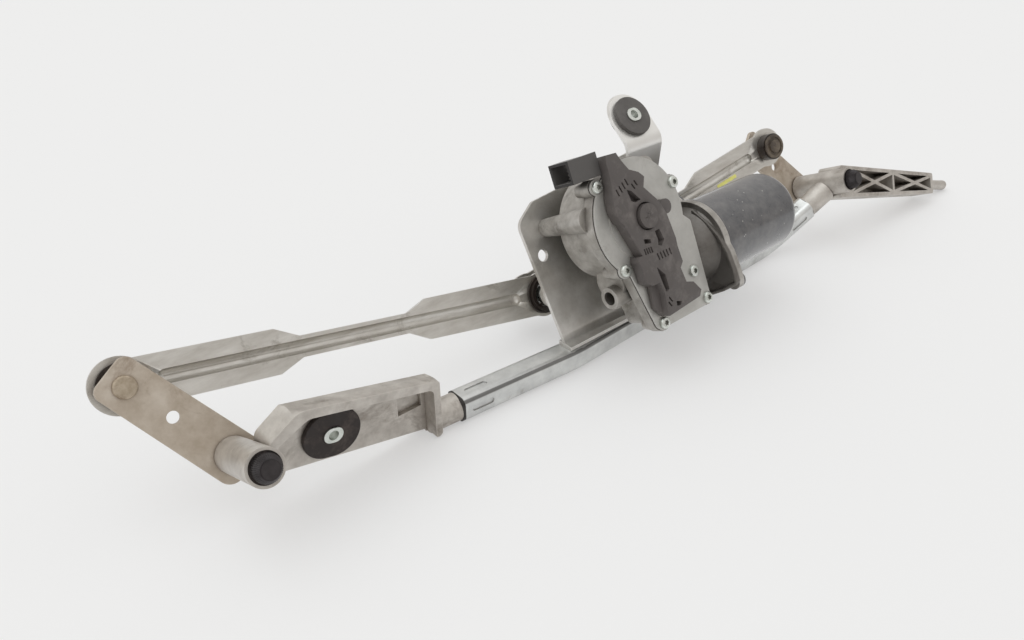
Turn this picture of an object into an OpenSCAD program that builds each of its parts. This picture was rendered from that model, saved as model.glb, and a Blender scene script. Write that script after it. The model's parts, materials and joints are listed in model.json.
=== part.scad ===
// Windscreen wiper linkage: a frame tube between two pivot housings, a geared motor on a
// pressed bracket, a crank, two pressed link rods and two levers on their wiper spindles.
// The mechanism frame has x along the linkage, y up and z along the spindles.
// The level frame turns it about x so that the frame tube lies flat: x along, y up, z forward.

/* [Layout] */
// Distance between the two wiper spindles
spindle_gap = 576; // [550:1:610]
// Lean of the spindles from the level of the frame tube, in degrees
lean = 27; // [25:0.5:29]
// Place of the output shaft along the linkage
motor_x = 293; // [286:1:300]
// Height of the output shaft above the line of the spindles
motor_y = 47; // [45:0.5:50]
// How far the far spindle stands forward of the near one
far_step = 8; // [5:0.5:10]

/* [Levers] */
// Lever length, spindle to ball
lever_len = 72; // [68:0.5:76]
// Direction of the near lever, in degrees
near_lever_dir = 123; // [118:0.5:128]
// Direction of the far lever, in degrees
far_lever_dir = 135; // [130:0.5:140]
// Thickness of the lever plates
lever_t = 3; // [2:0.25:4]
// Width of the lever plates
lever_w = 28; // [25:0.5:31]
// Diameter of the hole through each lever
lever_hole_d = 7.5; // [5:0.5:9]

/* [Spindles] */
// Outer diameter of the spindle barrels
barrel_d = 22.5; // [21:0.25:25]
// Length of the near barrel
near_barrel_len = 57; // [50:1:62]
// Length of the far barrel
far_barrel_len = 53; // [48:1:60]
// Diameter of the spindle journals
journal_d = 12; // [10:0.25:13]
// Wall of the spindle bushes
bush_wall = 2; // [1.5:0.25:2.5]
// Length of each spindle bush
bush_len = 15; // [10:0.5:18]
// Diameter of the knurled spindle ends
head_d = 16; // [14:0.25:17]
// How far the spindle ends stand out of the barrels
head_out = 8; // [6:0.5:10]

/* [Ball joints] */
// Ball diameter at the levers
ball_d = 15; // [13:0.5:16]
// Ball diameter on the crank
crank_ball_d = 13; // [11:0.5:14]
// Distance from a lever's face to its ball centre
ball_drop = 12; // [11:0.5:14]
// Distance between the two balls on the crank
ball_pitch = 18; // [17:0.5:22]
// Free play round the crank balls
crank_play = 3.8; // [3.6:0.1:4.5]

/* [Crank] */
// Crank radius
crank_r = 52; // [48:0.5:54]
// Direction of the crank at rest, in degrees
crank_dir = 231; // [226:0.5:236]
// Thickness of the crank arm
crank_t = 5; // [4:0.25:6]

/* [Link rods] */
// Sheet thickness of the rods
rod_t = 2.5; // [2:0.25:3]
// Width of the rods' flat ends
rod_wide = 29; // [27:0.5:31]
// Width of the channel between the flat ends
rod_neck = 14; // [12:0.5:16]

/* [Frame tube] */
// Outside size of the square tube
tube_size = 19; // [18:0.25:20]
// Corner radius of the tube
tube_corner = 5; // [3.5:0.25:6]
// Wall of the tube
tube_wall = 1.8; // [1.2:0.1:2]
// Drop of the tube's axis below the near lever
tube_drop = 27.5; // [26:0.5:29]

/* [Near housing] */
// Reach of the near arm to the face of its end wall
arm_reach = 127; // [120:1:134]
// Depth of the near arm from back to front
arm_depth = 17; // [15:0.5:20]
// Thickness of the near arm's web
arm_web = 5; // [4:0.25:6]
// Height of the arm's near end
arm_top = 35; // [33:0.5:38]
// Place of the near mount along the arm
near_mount_x = 53; // [52:0.5:58]
// Bore of both mount sleeves
sleeve_bore = 6.6; // [5.4:0.2:8]

/* [Far housing] */
// Length of the ribbed far arm from the spindle
far_arm_len = 168; // [158:1:175]
// Drop of the far arm, in degrees
far_arm_drop = 16; // [15:0.25:16.5]
// Depth of the ribbed arm
far_arm_depth = 22; // [18:0.5:23]
// Thickness of the ribs
rib_t = 3; // [2:0.25:4]
// Diameter of the locating peg
peg_d = 10; // [8:0.25:12]
// Length of the locating peg
peg_len = 44; // [35:1:50]

/* [Motor and gear] */
// Radius of the worm wheel housing
gear_case_r = 43; // [41:0.5:45]
// Distance between the output shaft and the motor's axis
gear_gap = 38.5; // [37:0.25:40]
// Radius of the worm
worm_r = 5; // [4:0.25:6]
// Teeth of the worm wheel
wheel_teeth = 52; // [40:1:60]
// Diameter of the motor can
can_d = 63; // [60:0.5:64]
// Length of the motor can
can_len = 94; // [88:1:100]
// Diameter of the output shaft
output_d = 12; // [10:0.25:13]

/* [Bracket] */
// Sheet thickness of the motor bracket
plate_t = 3; // [2:0.25:4]
// Front face of the bracket plate
plate_front = 20; // [18.5:0.25:20.5]
// Diameter of the plate's free hole
plate_hole_d = 9; // [6:0.5:11]
// Diameter of the top mount's grommet
top_grommet_d = 32; // [28:0.5:34]

/* [Fits] */
// Radial clearance of the running journals
run_gap = 0.05; // [0.03:0.01:0.1]
// Clearance between parts that are pressed or bolted together
seat_gap = 0.1; // [0.05:0.05:0.2]
// Clearance round the lever balls
ball_gap = 0.35; // [0.3:0.05:0.5]

/* [Hidden] */
$fn = 64;

// Finishes
zinc = "#A89C8C";
rod_steel = "#B5AFA8";
cast_alloy = "#B0AAA3";
tube_steel = "#C8C9C6";
plate_steel = "#8A857D";
rubber = "#332B2A";
black_plastic = "#3A3634";
can_paint = "#55565A";
bright_steel = "#C9CFC8";
bronze = "#8C7A4E";
copper = "#A8643C";

// Levels along the spindles
washer_t = 1;
mouth_depth = 6;
seal_t = 5;
head_gap = 0.4;
near_front_z = washer_t + near_barrel_len;
far_front_z = far_step + washer_t + far_barrel_len;
land_out = head_out / 2;
datum_z = near_front_z + land_out;
near_ball_z = -lever_t - ball_drop;
far_ball_z = far_step + ball_drop;
low_ball_z = near_ball_z - ball_pitch;
socket_len = 12;
crank_clear = 5;
crank_back_z = near_ball_z + socket_len / 2 + crank_clear;

// Points of the linkage in the mechanism frame
near_ball = concat(lever_len * [cos(near_lever_dir), sin(near_lever_dir)], near_ball_z);
far_ball = concat([spindle_gap, 0] + lever_len * [cos(far_lever_dir), sin(far_lever_dir)], far_ball_z);
crank_pin = [motor_x, motor_y] + crank_r * [cos(crank_dir), sin(crank_dir)];
crank_near_ball = concat(crank_pin, near_ball_z);
crank_far_ball = concat(crank_pin, low_ball_z);

// Radii that several pieces share
bush_r = journal_d / 2 + bush_wall;
socket_r = 11.5;
ring_r = crank_ball_d / 2 + crank_play + 3;
rod_end_r = 17;
rod_crank_end_r = ring_r + 4;
stud_r = 4;
ball_r = ball_d / 2;

// Frame tube: its points in the level frame
tube_y = -tube_drop;
table_y = tube_y - tube_size / 2;
tube_top_y = tube_y + tube_size / 2;
collar_len = 18;
spigot_len = 30;
tube_inner = tube_size / 2 - tube_wall;
tube_start = [arm_reach + collar_len, tube_y, 22.5];
tube_knee = [motor_x - 45, tube_y, 31];
tube_rise = [spindle_gap - 68, tube_y, 21.5];
far_root = level_point([spindle_gap - 14, -9, 34]);
tube_end = far_root;
knee_r = 150;
rise_r = 55;

// Near arm, in the level frame
arm_back = 15;
arm_front = arm_back + arm_depth;
arm_web_front = arm_back + arm_web;
arm_end_top = 9;
arm_wall = 5;
arm_corner = 31;
arm_draft = 14;
arm_land = 0.6;
arm_slope = atan2(arm_end_top - arm_top, arm_reach - arm_corner);
near_mount_y = 0.5;

// Gear housing, in the mechanism frame
case_back_z = 36;
case_front_z = 76;
gasket_t = 0.6;
cover_t = 1.5;
cover_z = case_front_z + gasket_t;
cover_top_z = cover_z + cover_t;
motor_axis_y = motor_y - gear_gap;
motor_axis_z = 55;
wheel_r = gear_gap - worm_r - 0.5;
wheel_t = 14;
case_low_y = -80;
flange_x = motor_x + 65;
can_x = motor_x + 71;
can_r = can_d / 2;
can_wall = 2;
shaft_r = 4;
screw_places = [[-32, 30.5], [39, 15], [-28, -29.5], [36, -51.5], [-6, -76], [43, -74.5]];
leg_places = [[-38, 11], [14, -37], [27, 30]];
lug_places = [45 * [-0.72, 0.70], 45 * [0.94, -0.34]];

// Top mount on the bracket's ear
ear_tilt = 19;
ear_seat = plate_t + 2 * seat_gap;
ear_centre = [motor_x + 62, motor_y + 67, 34];

// Geometry helpers
function unit(v) = v / norm(v);
function turned(v, n, a) = v * cos(a) + cross(n, v) * sin(a) + n * (n * v) * (1 - cos(a));
function bend(a, b, c) = acos(unit(b - a) * unit(c - b));
function level_point(p) = [p.x, p.y * cos(lean) + p.z * sin(lean), p.z * cos(lean) - p.y * sin(lean)];

module in_mechanism() { rotate([90 - lean, 0, 0]) translate([0, 0, -datum_z]) children(); }
module in_level() { in_mechanism() rotate([lean, 0, 0]) children(); }

// Stands its children at a point with their z along one direction and x along another
module framed(at, zdir, xdir) {
  ydir = cross(zdir, xdir);
  multmatrix([for (i = [0:2]) [xdir[i], ydir[i], zdir[i], at[i]]]) children();
}

// Turns a rotate_extrude or a cylinder to lie along x
module along_x() { rotate([0, 90, 0]) children(); }

// Convex outline with rounded corners, points counter-clockwise; the arcs cross the sides by a hair
corner_fuse = 0.01;

module round_outline(points, radius) {
  count = len(points);
  corners = [for (i = [0:count - 1])
    let (
      p = points[i],
      before = unit(points[(i + count - 1) % count] - p),
      after = unit(points[(i + 1) % count] - p),
      half = acos(before * after) / 2,
      r = is_list(radius) ? radius[i] : radius)
    [p + before * r / tan(half), p + after * r / tan(half), p + unit(before + after) * r / sin(half), r]];
  polygon([for (c = corners) each [c[0], c[1]]]);
  for (c = corners) translate(c[2]) circle(c[3] + corner_fuse);
}

// Slot outline with round ends, overall length and height
module obround(length, height) {
  square([length - height, height], center = true);
  for (x = [-1, 1]) translate([x * (length - height) / 2, 0]) circle(height / 2);
}

module ring(outer, inner, height) {
  difference() {
    cylinder(r = outer, h = height);
    translate([0, 0, -1]) cylinder(r = inner, h = height + 2);
  }
}

near_dir = unit(tube_knee - tube_start);
mid_dir = unit(tube_rise - tube_knee);
end_dir = unit(tube_end - tube_rise);
near_side = cross([0, 1, 0], near_dir);
mid_side = cross([0, 1, 0], mid_dir);
end_side = turned(mid_side, unit(cross(mid_dir, end_dir)), bend(tube_knee, tube_rise, tube_end));
bend_steps = 5;
corner_steps = 5;
end_setback = 14;

// Stations along the tube: a point with the section's side and up directions
function station(point, dir, side) = [point, side, cross(dir, side)];
function bend_stations(corner, dir_in, dir_out, radius, side) =
  let (
    angle = acos(dir_in * dir_out),
    axis = unit(cross(dir_in, dir_out)),
    start = corner - dir_in * radius * tan(angle / 2),
    centre = start + cross(axis, dir_in) * radius)
  [for (k = [0:bend_steps]) let (a = angle * k / bend_steps)
    station(centre + turned(start - centre, axis, a), turned(dir_in, axis, a), turned(side, axis, a))];

// Section of the tube, counter-clockwise
function rounded_square(size, r) =
  [for (q = [0:3], k = [0:corner_steps]) let (a = 90 * (q + k / corner_steps), m = 90 * q + 45)
    (size / 2 - r) * sqrt(2) * [cos(m), sin(m)] + r * [cos(a), sin(a)]];

// Hollow sweep of two like sections along the stations
module swept_tube(stations, outer, inner) {
  n = len(outer);
  last = len(stations) - 1;
  skin = n * (last + 1);
  points = [for (section = [outer, inner], s = stations, p = section) s[0] + p.x * s[1] + p.y * s[2]];
  quads = [for (j = [0:n - 1]) let (k = (j + 1) % n) each concat(
    [for (i = [0:last - 1]) [i * n + j, i * n + n + j, i * n + n + k, i * n + k]],
    [for (i = [0:last - 1]) (skin + i * n) * [1, 1, 1, 1] + [j, k, n + k, n + j]],
    [[j, k, skin + k, skin + j], last * n * [1, 1, 1, 1] + [skin + j, skin + k, k, j]])];
  polyhedron(points, [for (q = quads) each [[q[0], q[1], q[2]], [q[0], q[2], q[3]]]]);
}

module frame_tube() {
  stations = concat(
    [station(tube_start + near_dir * seat_gap, near_dir, near_side)],
    bend_stations(tube_knee, near_dir, mid_dir, knee_r, near_side),
    bend_stations(tube_rise, mid_dir, end_dir, rise_r, mid_side),
    [station(tube_end - end_dir * (end_setback + seat_gap), end_dir, end_side)]);
  color(tube_steel) in_level() difference() {
    swept_tube(stations, rounded_square(tube_size, tube_corner),
      rounded_square(tube_size - 2 * tube_wall, tube_corner - tube_wall));
    crimps(tube_start, near_dir, near_side);
    crimps(tube_end - end_dir * end_setback, -end_dir, end_side);
  }
}

// Pressed dents that lock the tube on a spigot, two to a side
module crimps(at, dir, side) {
  for (turn = [0:90:270]) framed(at, dir, side) rotate(turn)
    translate([tube_size / 2, 0, 17]) rotate([0, 90, 0])
      translate([0, 0, -0.9]) linear_extrude(2) obround(18, 4.5);
}

// Spigot with its collar, for a tube that starts at a point
module spigot(at, dir, side, back) {
  framed(at, dir, side) {
    translate([0, 0, -back]) cylinder(r = tube_size / 2 + 0.7, h = back);
    translate([0, 0, -1]) cylinder(r = tube_inner - seat_gap, h = spigot_len + 1);
  }
}

module barrel(z, length) {
  translate([0, 0, z]) cylinder(d = barrel_d, h = length);
}

module barrel_bore(z, length) {
  translate([0, 0, z - 1]) cylinder(r = bush_r + seat_gap, h = length + 2);
  translate([0, 0, z + length - mouth_depth]) cylinder(r = head_d / 2 + 1.5, h = mouth_depth + 1);
}

module near_arm_outline() {
  round_outline([[8, -9], [arm_reach, table_y], [arm_reach, arm_end_top], [arm_corner, arm_top],
    [9, arm_top - 14]], [3, 3, 3, 12, 8]);
}

module near_arm_pocket() {
  end_x = arm_reach - arm_wall;
  round_outline([[24, -40], [end_x, -70], [end_x, arm_end_top - arm_wall], [41, arm_top - 9.2], [28, 14]],
    [4, 4, 5, 8, 8]);
}

module near_mount_place() {
  translate([near_mount_x, near_mount_y, arm_back]) rotate(arm_slope) children();
}

module near_pivot_housing() {
  color(cast_alloy) in_mechanism() difference() {
    union() {
      barrel(washer_t, near_barrel_len);
      rotate([lean, 0, 0]) {
        difference() {
          translate([0, 0, arm_back]) linear_extrude(arm_depth) near_arm_outline();
          translate([0, 0, arm_web_front]) linear_extrude(arm_depth) near_arm_pocket();
          near_mount_place() translate([0, 0, -1]) linear_extrude(arm_web + 2) obround(32, 27);
          translate([arm_reach - 26, -14, arm_back + 2]) cube([18, 16, arm_web]);
          translate([arm_corner, arm_top, arm_front]) rotate(arm_slope) rotate([-arm_draft, 0, 0])
            translate([-60, arm_land, -60]) cube([220, 40, 61]);
          intersection() {
            translate([-5, -60, arm_web_front]) cube([36, 120, 60]);
            rotate([-lean, 0, 0]) translate([-5, -70 - barrel_d / 2 + 1.5, 0]) cube([40, 70, 90]);
          }
        }
        spigot(tube_start, near_dir, near_side, collar_len + 6);
      }
    }
    barrel_bore(washer_t, near_barrel_len);
  }
}

// Rubber grommet that grips a wall, with flanges on both faces
module grommet(wall, length, height, neck_length, neck_height, flange, bore_r) {
  difference() {
    union() {
      linear_extrude(wall) obround(neck_length, neck_height);
      translate([0, 0, wall]) linear_extrude(flange) obround(length, height);
      translate([0, 0, -flange]) linear_extrude(flange) obround(length, height);
    }
    translate([0, 0, -flange - 1]) cylinder(r = bore_r, h = wall + 2 * flange + 2);
  }
}

sleeve_wall = 1.6;
sleeve_r = sleeve_bore / 2 + sleeve_wall;
grommet_flange = 3.5;
sleeve_lip = 1.2;

module sleeve(wall) {
  difference() {
    union() {
      translate([0, 0, -grommet_flange]) cylinder(r = sleeve_r, h = wall + 2 * grommet_flange);
      translate([0, 0, wall + grommet_flange]) linear_extrude(sleeve_lip)
        obround(2 * sleeve_r + 3.4, 2 * sleeve_r + 0.8);
    }
    translate([0, 0, -grommet_flange - 1]) cylinder(d = sleeve_bore, h = wall + 2 * grommet_flange + 4);
  }
}

module near_mount_grommet() {
  color(rubber) in_level() near_mount_place()
    grommet(arm_web, 39, 33, 32 - 2 * seat_gap, 27 - 2 * seat_gap, grommet_flange, sleeve_r + seat_gap);
}

module near_mount_sleeve() { color(bright_steel) in_level() near_mount_place() sleeve(arm_web); }

// Far housing: barrel, tube spigot, ribbed arm and locating peg
far_arm_front = 52;
far_arm_z = far_arm_front - far_arm_depth;
far_arm_root = 30;
far_arm_end = 21;
far_rim = 3.5;
bay_start = 20;
far_web = 8;

function arm_half(x) = (far_arm_root + (far_arm_end - far_arm_root) * x / far_arm_len) / 2;

module far_arm_bay(from, to) {
  inner = [[from, -arm_half(from) + far_rim], [to, -arm_half(to) + far_rim],
    [to, arm_half(to) - far_rim], [from, arm_half(from) - far_rim]];
  difference() {
    polygon(inner);
    for (pair = [[0, 2], [1, 3]]) {
      a = inner[pair[0]];
      b = inner[pair[1]];
      translate(a) rotate(atan2(b.y - a.y, b.x - a.x))
        translate([-5, -rib_t / 2]) square([norm(b - a) + 10, rib_t]);
    }
  }
}

module far_arm() {
  bay_end = far_arm_len - far_rim - 1;
  middle = (bay_start + bay_end) / 2;
  difference() {
    linear_extrude(far_arm_depth) round_outline([[0, -arm_half(0)], [far_arm_len, -arm_half(far_arm_len)],
      [far_arm_len, arm_half(far_arm_len)], [0, arm_half(0)]], [4, 3, 3, 4]);
    translate([0, 0, far_web]) linear_extrude(far_arm_depth) {
      far_arm_bay(bay_start, middle - rib_t / 2);
      far_arm_bay(middle + rib_t / 2, bay_end);
    }
  }
  translate([far_arm_len - 1, 0, far_arm_depth / 2]) along_x() {
    cylinder(d = peg_d, h = peg_len - 3);
    translate([0, 0, peg_len - 3]) cylinder(r1 = peg_d / 2, r2 = peg_d / 2 - 2, h = 4);
  }
}

module far_pivot_housing() {
  z = far_step + washer_t;
  color(cast_alloy) in_mechanism() difference() {
    union() {
      translate([spindle_gap, 0]) barrel(z, far_barrel_len);
      translate([spindle_gap, 0, far_arm_z]) rotate(-far_arm_drop) far_arm();
      rotate([lean, 0, 0]) spigot(tube_end - end_dir * end_setback, -end_dir, end_side, end_setback + 10);
    }
    translate([spindle_gap, 0]) barrel_bore(z, far_barrel_len);
  }
}

// Spindles: journal, knurled end and riveted tail
module spindle(z, length) {
  tail = 2;
  lever_z = z - washer_t - lever_t;
  front_z = z + length;
  tail_r = journal_d / 2 + 2;
  tip_r = head_d / 2 - 2.5;
  rotate_extrude() polygon([[0, lever_z - tail], [tail_r, lever_z - tail], [tail_r, lever_z],
    [journal_d / 2, lever_z], [journal_d / 2, front_z + head_gap], [head_d / 2, front_z + head_gap],
    [head_d / 2, front_z + land_out], [tip_r, front_z + head_out], [0, front_z + head_out]]);
}

module near_spindle() { color("#262324") in_mechanism() spindle(washer_t, near_barrel_len); }

module far_spindle() {
  color("#262324") in_mechanism() translate([spindle_gap, 0]) spindle(far_step + washer_t, far_barrel_len);
}

module bushes(z, length) {
  for (start = [z, z + length - mouth_depth - bush_len])
    translate([0, 0, start]) ring(bush_r, journal_d / 2 + run_gap, bush_len);
}

module near_spindle_bushes() { color(bronze) in_mechanism() bushes(washer_t, near_barrel_len); }

module far_spindle_bushes() {
  color(bronze) in_mechanism() translate([spindle_gap, 0]) bushes(far_step + washer_t, far_barrel_len);
}

module thrust_washers() {
  color(bright_steel) in_mechanism() for (p = [[0, 0, 0], [spindle_gap, 0, far_step]])
    translate(p + [0, 0, 0.3]) ring(barrel_d / 2 - 1, journal_d / 2 + 0.35, washer_t - 0.3);
}

module spindle_seals() {
  color(rubber) in_mechanism() for (p = [[0, 0, near_front_z], [spindle_gap, 0, far_front_z]])
    translate(p - [0, 0, mouth_depth]) ring(head_d / 2 + 1.5 - seat_gap, journal_d / 2 + 0.35, seal_t);
}

// Levers: pressed plates with a square end at the ball
module lever_plate() {
  tail = 13;
  over = 12;
  difference() {
    linear_extrude(lever_t) round_outline([[-tail, -lever_w / 2 - 1], [lever_len + over, -lever_w / 2 - 1],
      [lever_len + over, lever_w / 2 - 1], [-tail, lever_w / 2 + 3]], [7, 6, 6, 9]);
    translate([0, 0, -1]) cylinder(r = journal_d / 2 + seat_gap, h = lever_t + 2);
    translate([lever_len, 0, -1]) cylinder(r = stud_r + seat_gap, h = lever_t + 2);
    translate([lever_len * 0.57, 0, -1]) cylinder(d = lever_hole_d, h = lever_t + 2);
  }
}

module near_lever() {
  color(zinc) in_mechanism() translate([0, 0, -lever_t]) rotate(near_lever_dir) lever_plate();
}

module far_lever() {
  color(zinc) in_mechanism() translate([spindle_gap, 0, far_step - lever_t])
    rotate(far_lever_dir) lever_plate();
}

// Ball stud that points along +z from a lever face at z = 0
module ball_stud() {
  rivet = 1.6;
  collar = 2;
  translate([0, 0, -lever_t - rivet]) cylinder(r = stud_r + 2.5, h = rivet);
  translate([0, 0, -lever_t - 0.5]) cylinder(r = stud_r, h = lever_t + ball_drop + 0.5);
  cylinder(r = stud_r + 2.2, h = collar);
  translate([0, 0, ball_drop]) sphere(ball_r);
}

module near_ball_stud() {
  color(bright_steel) in_mechanism() translate([near_ball.x, near_ball.y, -lever_t])
    mirror([0, 0, 1]) ball_stud();
}

module far_ball_stud() {
  color(bright_steel) in_mechanism() translate([far_ball.x, far_ball.y, far_step]) ball_stud();
}

// Link rods, pressed with a channel that runs into flat ends; x runs from the lever ball
channel_r = rod_neck / 2;
near_rod_len = norm(crank_near_ball - near_ball);
far_rod_len = norm(crank_far_ball - far_ball);

module channel_core(from, to, r) {
  translate([from, 0, 0]) along_x() cylinder(r = r, h = to - from);
  for (x = [from, to]) translate([x, 0, 0]) sphere(r);
}

module rod_blank(length, neck_from, neck_to) {
  shoulder = 16;
  half = rod_wide / 2;
  slim_from = neck_from + shoulder;
  slim_to = neck_to - shoulder;
  polygon([[0, -half], [neck_from, -half], [slim_from, -channel_r], [slim_to, -channel_r], [neck_to, -half],
    [length, -rod_crank_end_r + 1.5], [length, rod_crank_end_r - 1.5], [neck_to, half], [slim_to, channel_r],
    [slim_from, channel_r], [neck_from, half], [0, half]]);
  circle(rod_end_r);
  translate([length, 0]) circle(rod_crank_end_r);
}

module link_rod(length, neck_from, neck_to) {
  channel_from = socket_r + channel_r + 6;
  channel_to = length - ring_r - channel_r - 6;
  inner_r = channel_r - rod_t;
  front = rod_t / 2;
  difference() {
    union() {
      translate([0, 0, -front]) linear_extrude(rod_t) rod_blank(length, neck_from, neck_to);
      difference() {
        translate([0, 0, front]) channel_core(channel_from, channel_to, channel_r);
        translate([-50, -50, front]) cube([length + 100, 100, 50]);
      }
    }
    translate([0, 0, front]) channel_core(channel_from, channel_to, inner_r);
    translate([0, 0, -rod_t]) cylinder(r = socket_r + seat_gap, h = 2 * rod_t);
    translate([length, 0, -rod_t]) cylinder(r = ring_r + seat_gap, h = 2 * rod_t);
  }
}

// Frame of a rod: x along the rod from its lever ball, z as near the spindles' as the rod allows
module on_rod(from, to) {
  along = unit(to - from);
  up = unit(cross(along, cross([0, 0, 1], along)));
  framed(from, up, along) children();
}

module near_link_rod() {
  color(rod_steel) in_mechanism() on_rod(near_ball, crank_near_ball)
    link_rod(near_rod_len, 0.3 * near_rod_len, 0.66 * near_rod_len);
}

module far_link_rod() {
  color(rod_steel) in_mechanism() on_rod(far_ball, crank_far_ball)
    link_rod(far_rod_len, 0.3 * far_rod_len, 0.66 * far_rod_len);
}

// Plastic socket pressed into a rod's lever end, mouth along +z
module lever_socket() {
  mouth = 4;
  depth = ball_r + 2;
  difference() {
    union() {
      translate([0, 0, -depth]) cylinder(r = socket_r, h = depth + mouth);
      translate([0, 0, rod_t / 2]) cylinder(r = socket_r + 1.8, h = mouth - rod_t / 2);
    }
    sphere(ball_r + ball_gap);
  }
}

module near_lever_socket() {
  color(black_plastic) in_mechanism() on_rod(near_ball, crank_near_ball) lever_socket();
}

module far_lever_socket() {
  color(black_plastic) in_mechanism() on_rod(far_ball, crank_far_ball) mirror([0, 0, 1]) lever_socket();
}

// Ring socket round a crank ball
module crank_socket() {
  translate([0, 0, -socket_len / 2]) ring(ring_r, crank_ball_d / 2 + crank_play, socket_len);
  translate([0, 0, rod_t / 2]) ring(ring_r + 1.6, crank_ball_d / 2 + crank_play, 2);
}

module near_crank_socket() {
  color(black_plastic) in_mechanism() on_rod(near_ball, crank_near_ball)
    translate([near_rod_len, 0]) crank_socket();
}

module far_crank_socket() {
  color(black_plastic) in_mechanism() on_rod(far_ball, crank_far_ball)
    translate([far_rod_len, 0]) crank_socket();
}

// Crank with its double ball stud, on the output shaft
module crank_arm() {
  hub_r = 13;
  pin_r = 10.5;
  color(plate_steel) on_output(crank_back_z) rotate(crank_dir) difference() {
    linear_extrude(crank_t) {
      circle(hub_r);
      translate([crank_r, 0]) circle(pin_r);
      polygon([[0, -hub_r + 1], [crank_r, -pin_r + 1], [crank_r, pin_r - 1], [0, hub_r - 1]]);
    }
    translate([0, 0, -1]) cylinder(r = output_d / 2 + seat_gap, h = crank_t + 2);
    translate([crank_r, 0, -1]) cylinder(r = stud_r + seat_gap, h = crank_t + 2);
  }
}

module crank_ball_stud() {
  color(bright_steel) in_mechanism() translate(concat(crank_pin, 0)) {
    translate([0, 0, low_ball_z]) cylinder(r = stud_r, h = crank_back_z + crank_t + 0.5 - low_ball_z);
    translate([0, 0, crank_back_z + crank_t]) cylinder(r = stud_r + 2.5, h = 1.6);
    translate([0, 0, crank_back_z - 2]) cylinder(r = stud_r + 1.6, h = 2);
    for (z = [near_ball_z, low_ball_z]) translate([0, 0, z]) sphere(d = crank_ball_d);
  }
}

nut_h = 5.5;

module crank_nut() {
  color(bright_steel) in_mechanism() translate([motor_x, motor_y, crank_back_z - nut_h]) difference() {
    cylinder(r = output_d / 2 + 4, h = nut_h, $fn = 6);
    translate([0, 0, -1]) cylinder(r = output_d / 2 + seat_gap, h = nut_h + 2);
  }
}

module output_shaft() {
  low = crank_back_z - nut_h;
  color(bright_steel) in_mechanism() translate([motor_x, motor_y, low])
    cylinder(d = output_d, h = motor_axis_z + wheel_t / 2 + 4 - low);
}

// Worm wheel with plain teeth
module worm_wheel() {
  depth = 2;
  pitch = 360 / wheel_teeth;
  tooth = [[-0.3, 0], [-0.14, 1], [0.14, 1], [0.3, 0]];
  color("#D8D2C0") in_mechanism() translate([motor_x, motor_y, motor_axis_z - wheel_t / 2]) difference() {
    linear_extrude(wheel_t) polygon([for (i = [0:wheel_teeth - 1], k = tooth)
      (wheel_r - depth * (1 - k[1])) * [cos((i + k[0]) * pitch), sin((i + k[0]) * pitch)]]);
    translate([0, 0, -1]) cylinder(r = output_d / 2 + seat_gap, h = wheel_t + 2);
    translate([0, 0, wheel_t - 3]) ring(wheel_r - 6, output_d / 2 + 6, 4);
  }
}

// Gear housing: rim, wheel case, worm tunnel, motor flange, legs and output boss
module case_outline(grow) {
  circle(gear_case_r + grow);
  round_outline([[-13 - grow, case_low_y - grow], [48 + grow, case_low_y - grow], [48 + grow, -16],
    [20, 10], [-30, -10]], [5, 5, 3, 3, 3]);
  for (p = screw_places) translate(p) circle(6 + grow);
}

module on_output(z) { in_mechanism() translate([motor_x, motor_y, z]) children(); }

module on_motor(x) { in_mechanism() translate([x, motor_axis_y, motor_axis_z]) along_x() children(); }

// Flange outline as seen along the motor, lugs on one diagonal
module flange_outline() {
  circle(can_r + 2.5);
  for (p = lug_places) rotate(atan2(p.x, -p.y)) {
    translate([norm(p), 0]) circle(6);
    polygon([[0, -24], [norm(p), -6], [norm(p), 6], [0, 24]]);
  }
}

// Where the lugs' screws stand, as seen along the motor
function lug_point(p) = [-p.y, p.x];

screw_r = 2.5;
bearing_len = 7;
boss_z = plate_front + 4;
rim_t = 8;
rim_z = case_front_z - rim_t;
worm_half = 12;
worm_pitch = 4;
bearing_x = motor_x - worm_half - 1 - bearing_len;
wheel_case_r = wheel_r + 2.5;
worm_bore_r = worm_r + 3.5;
tunnel_r = worm_bore_r + 4.5;
low_case_z = 46;
neck_r = case_front_z - motor_axis_z - 1;

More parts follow.
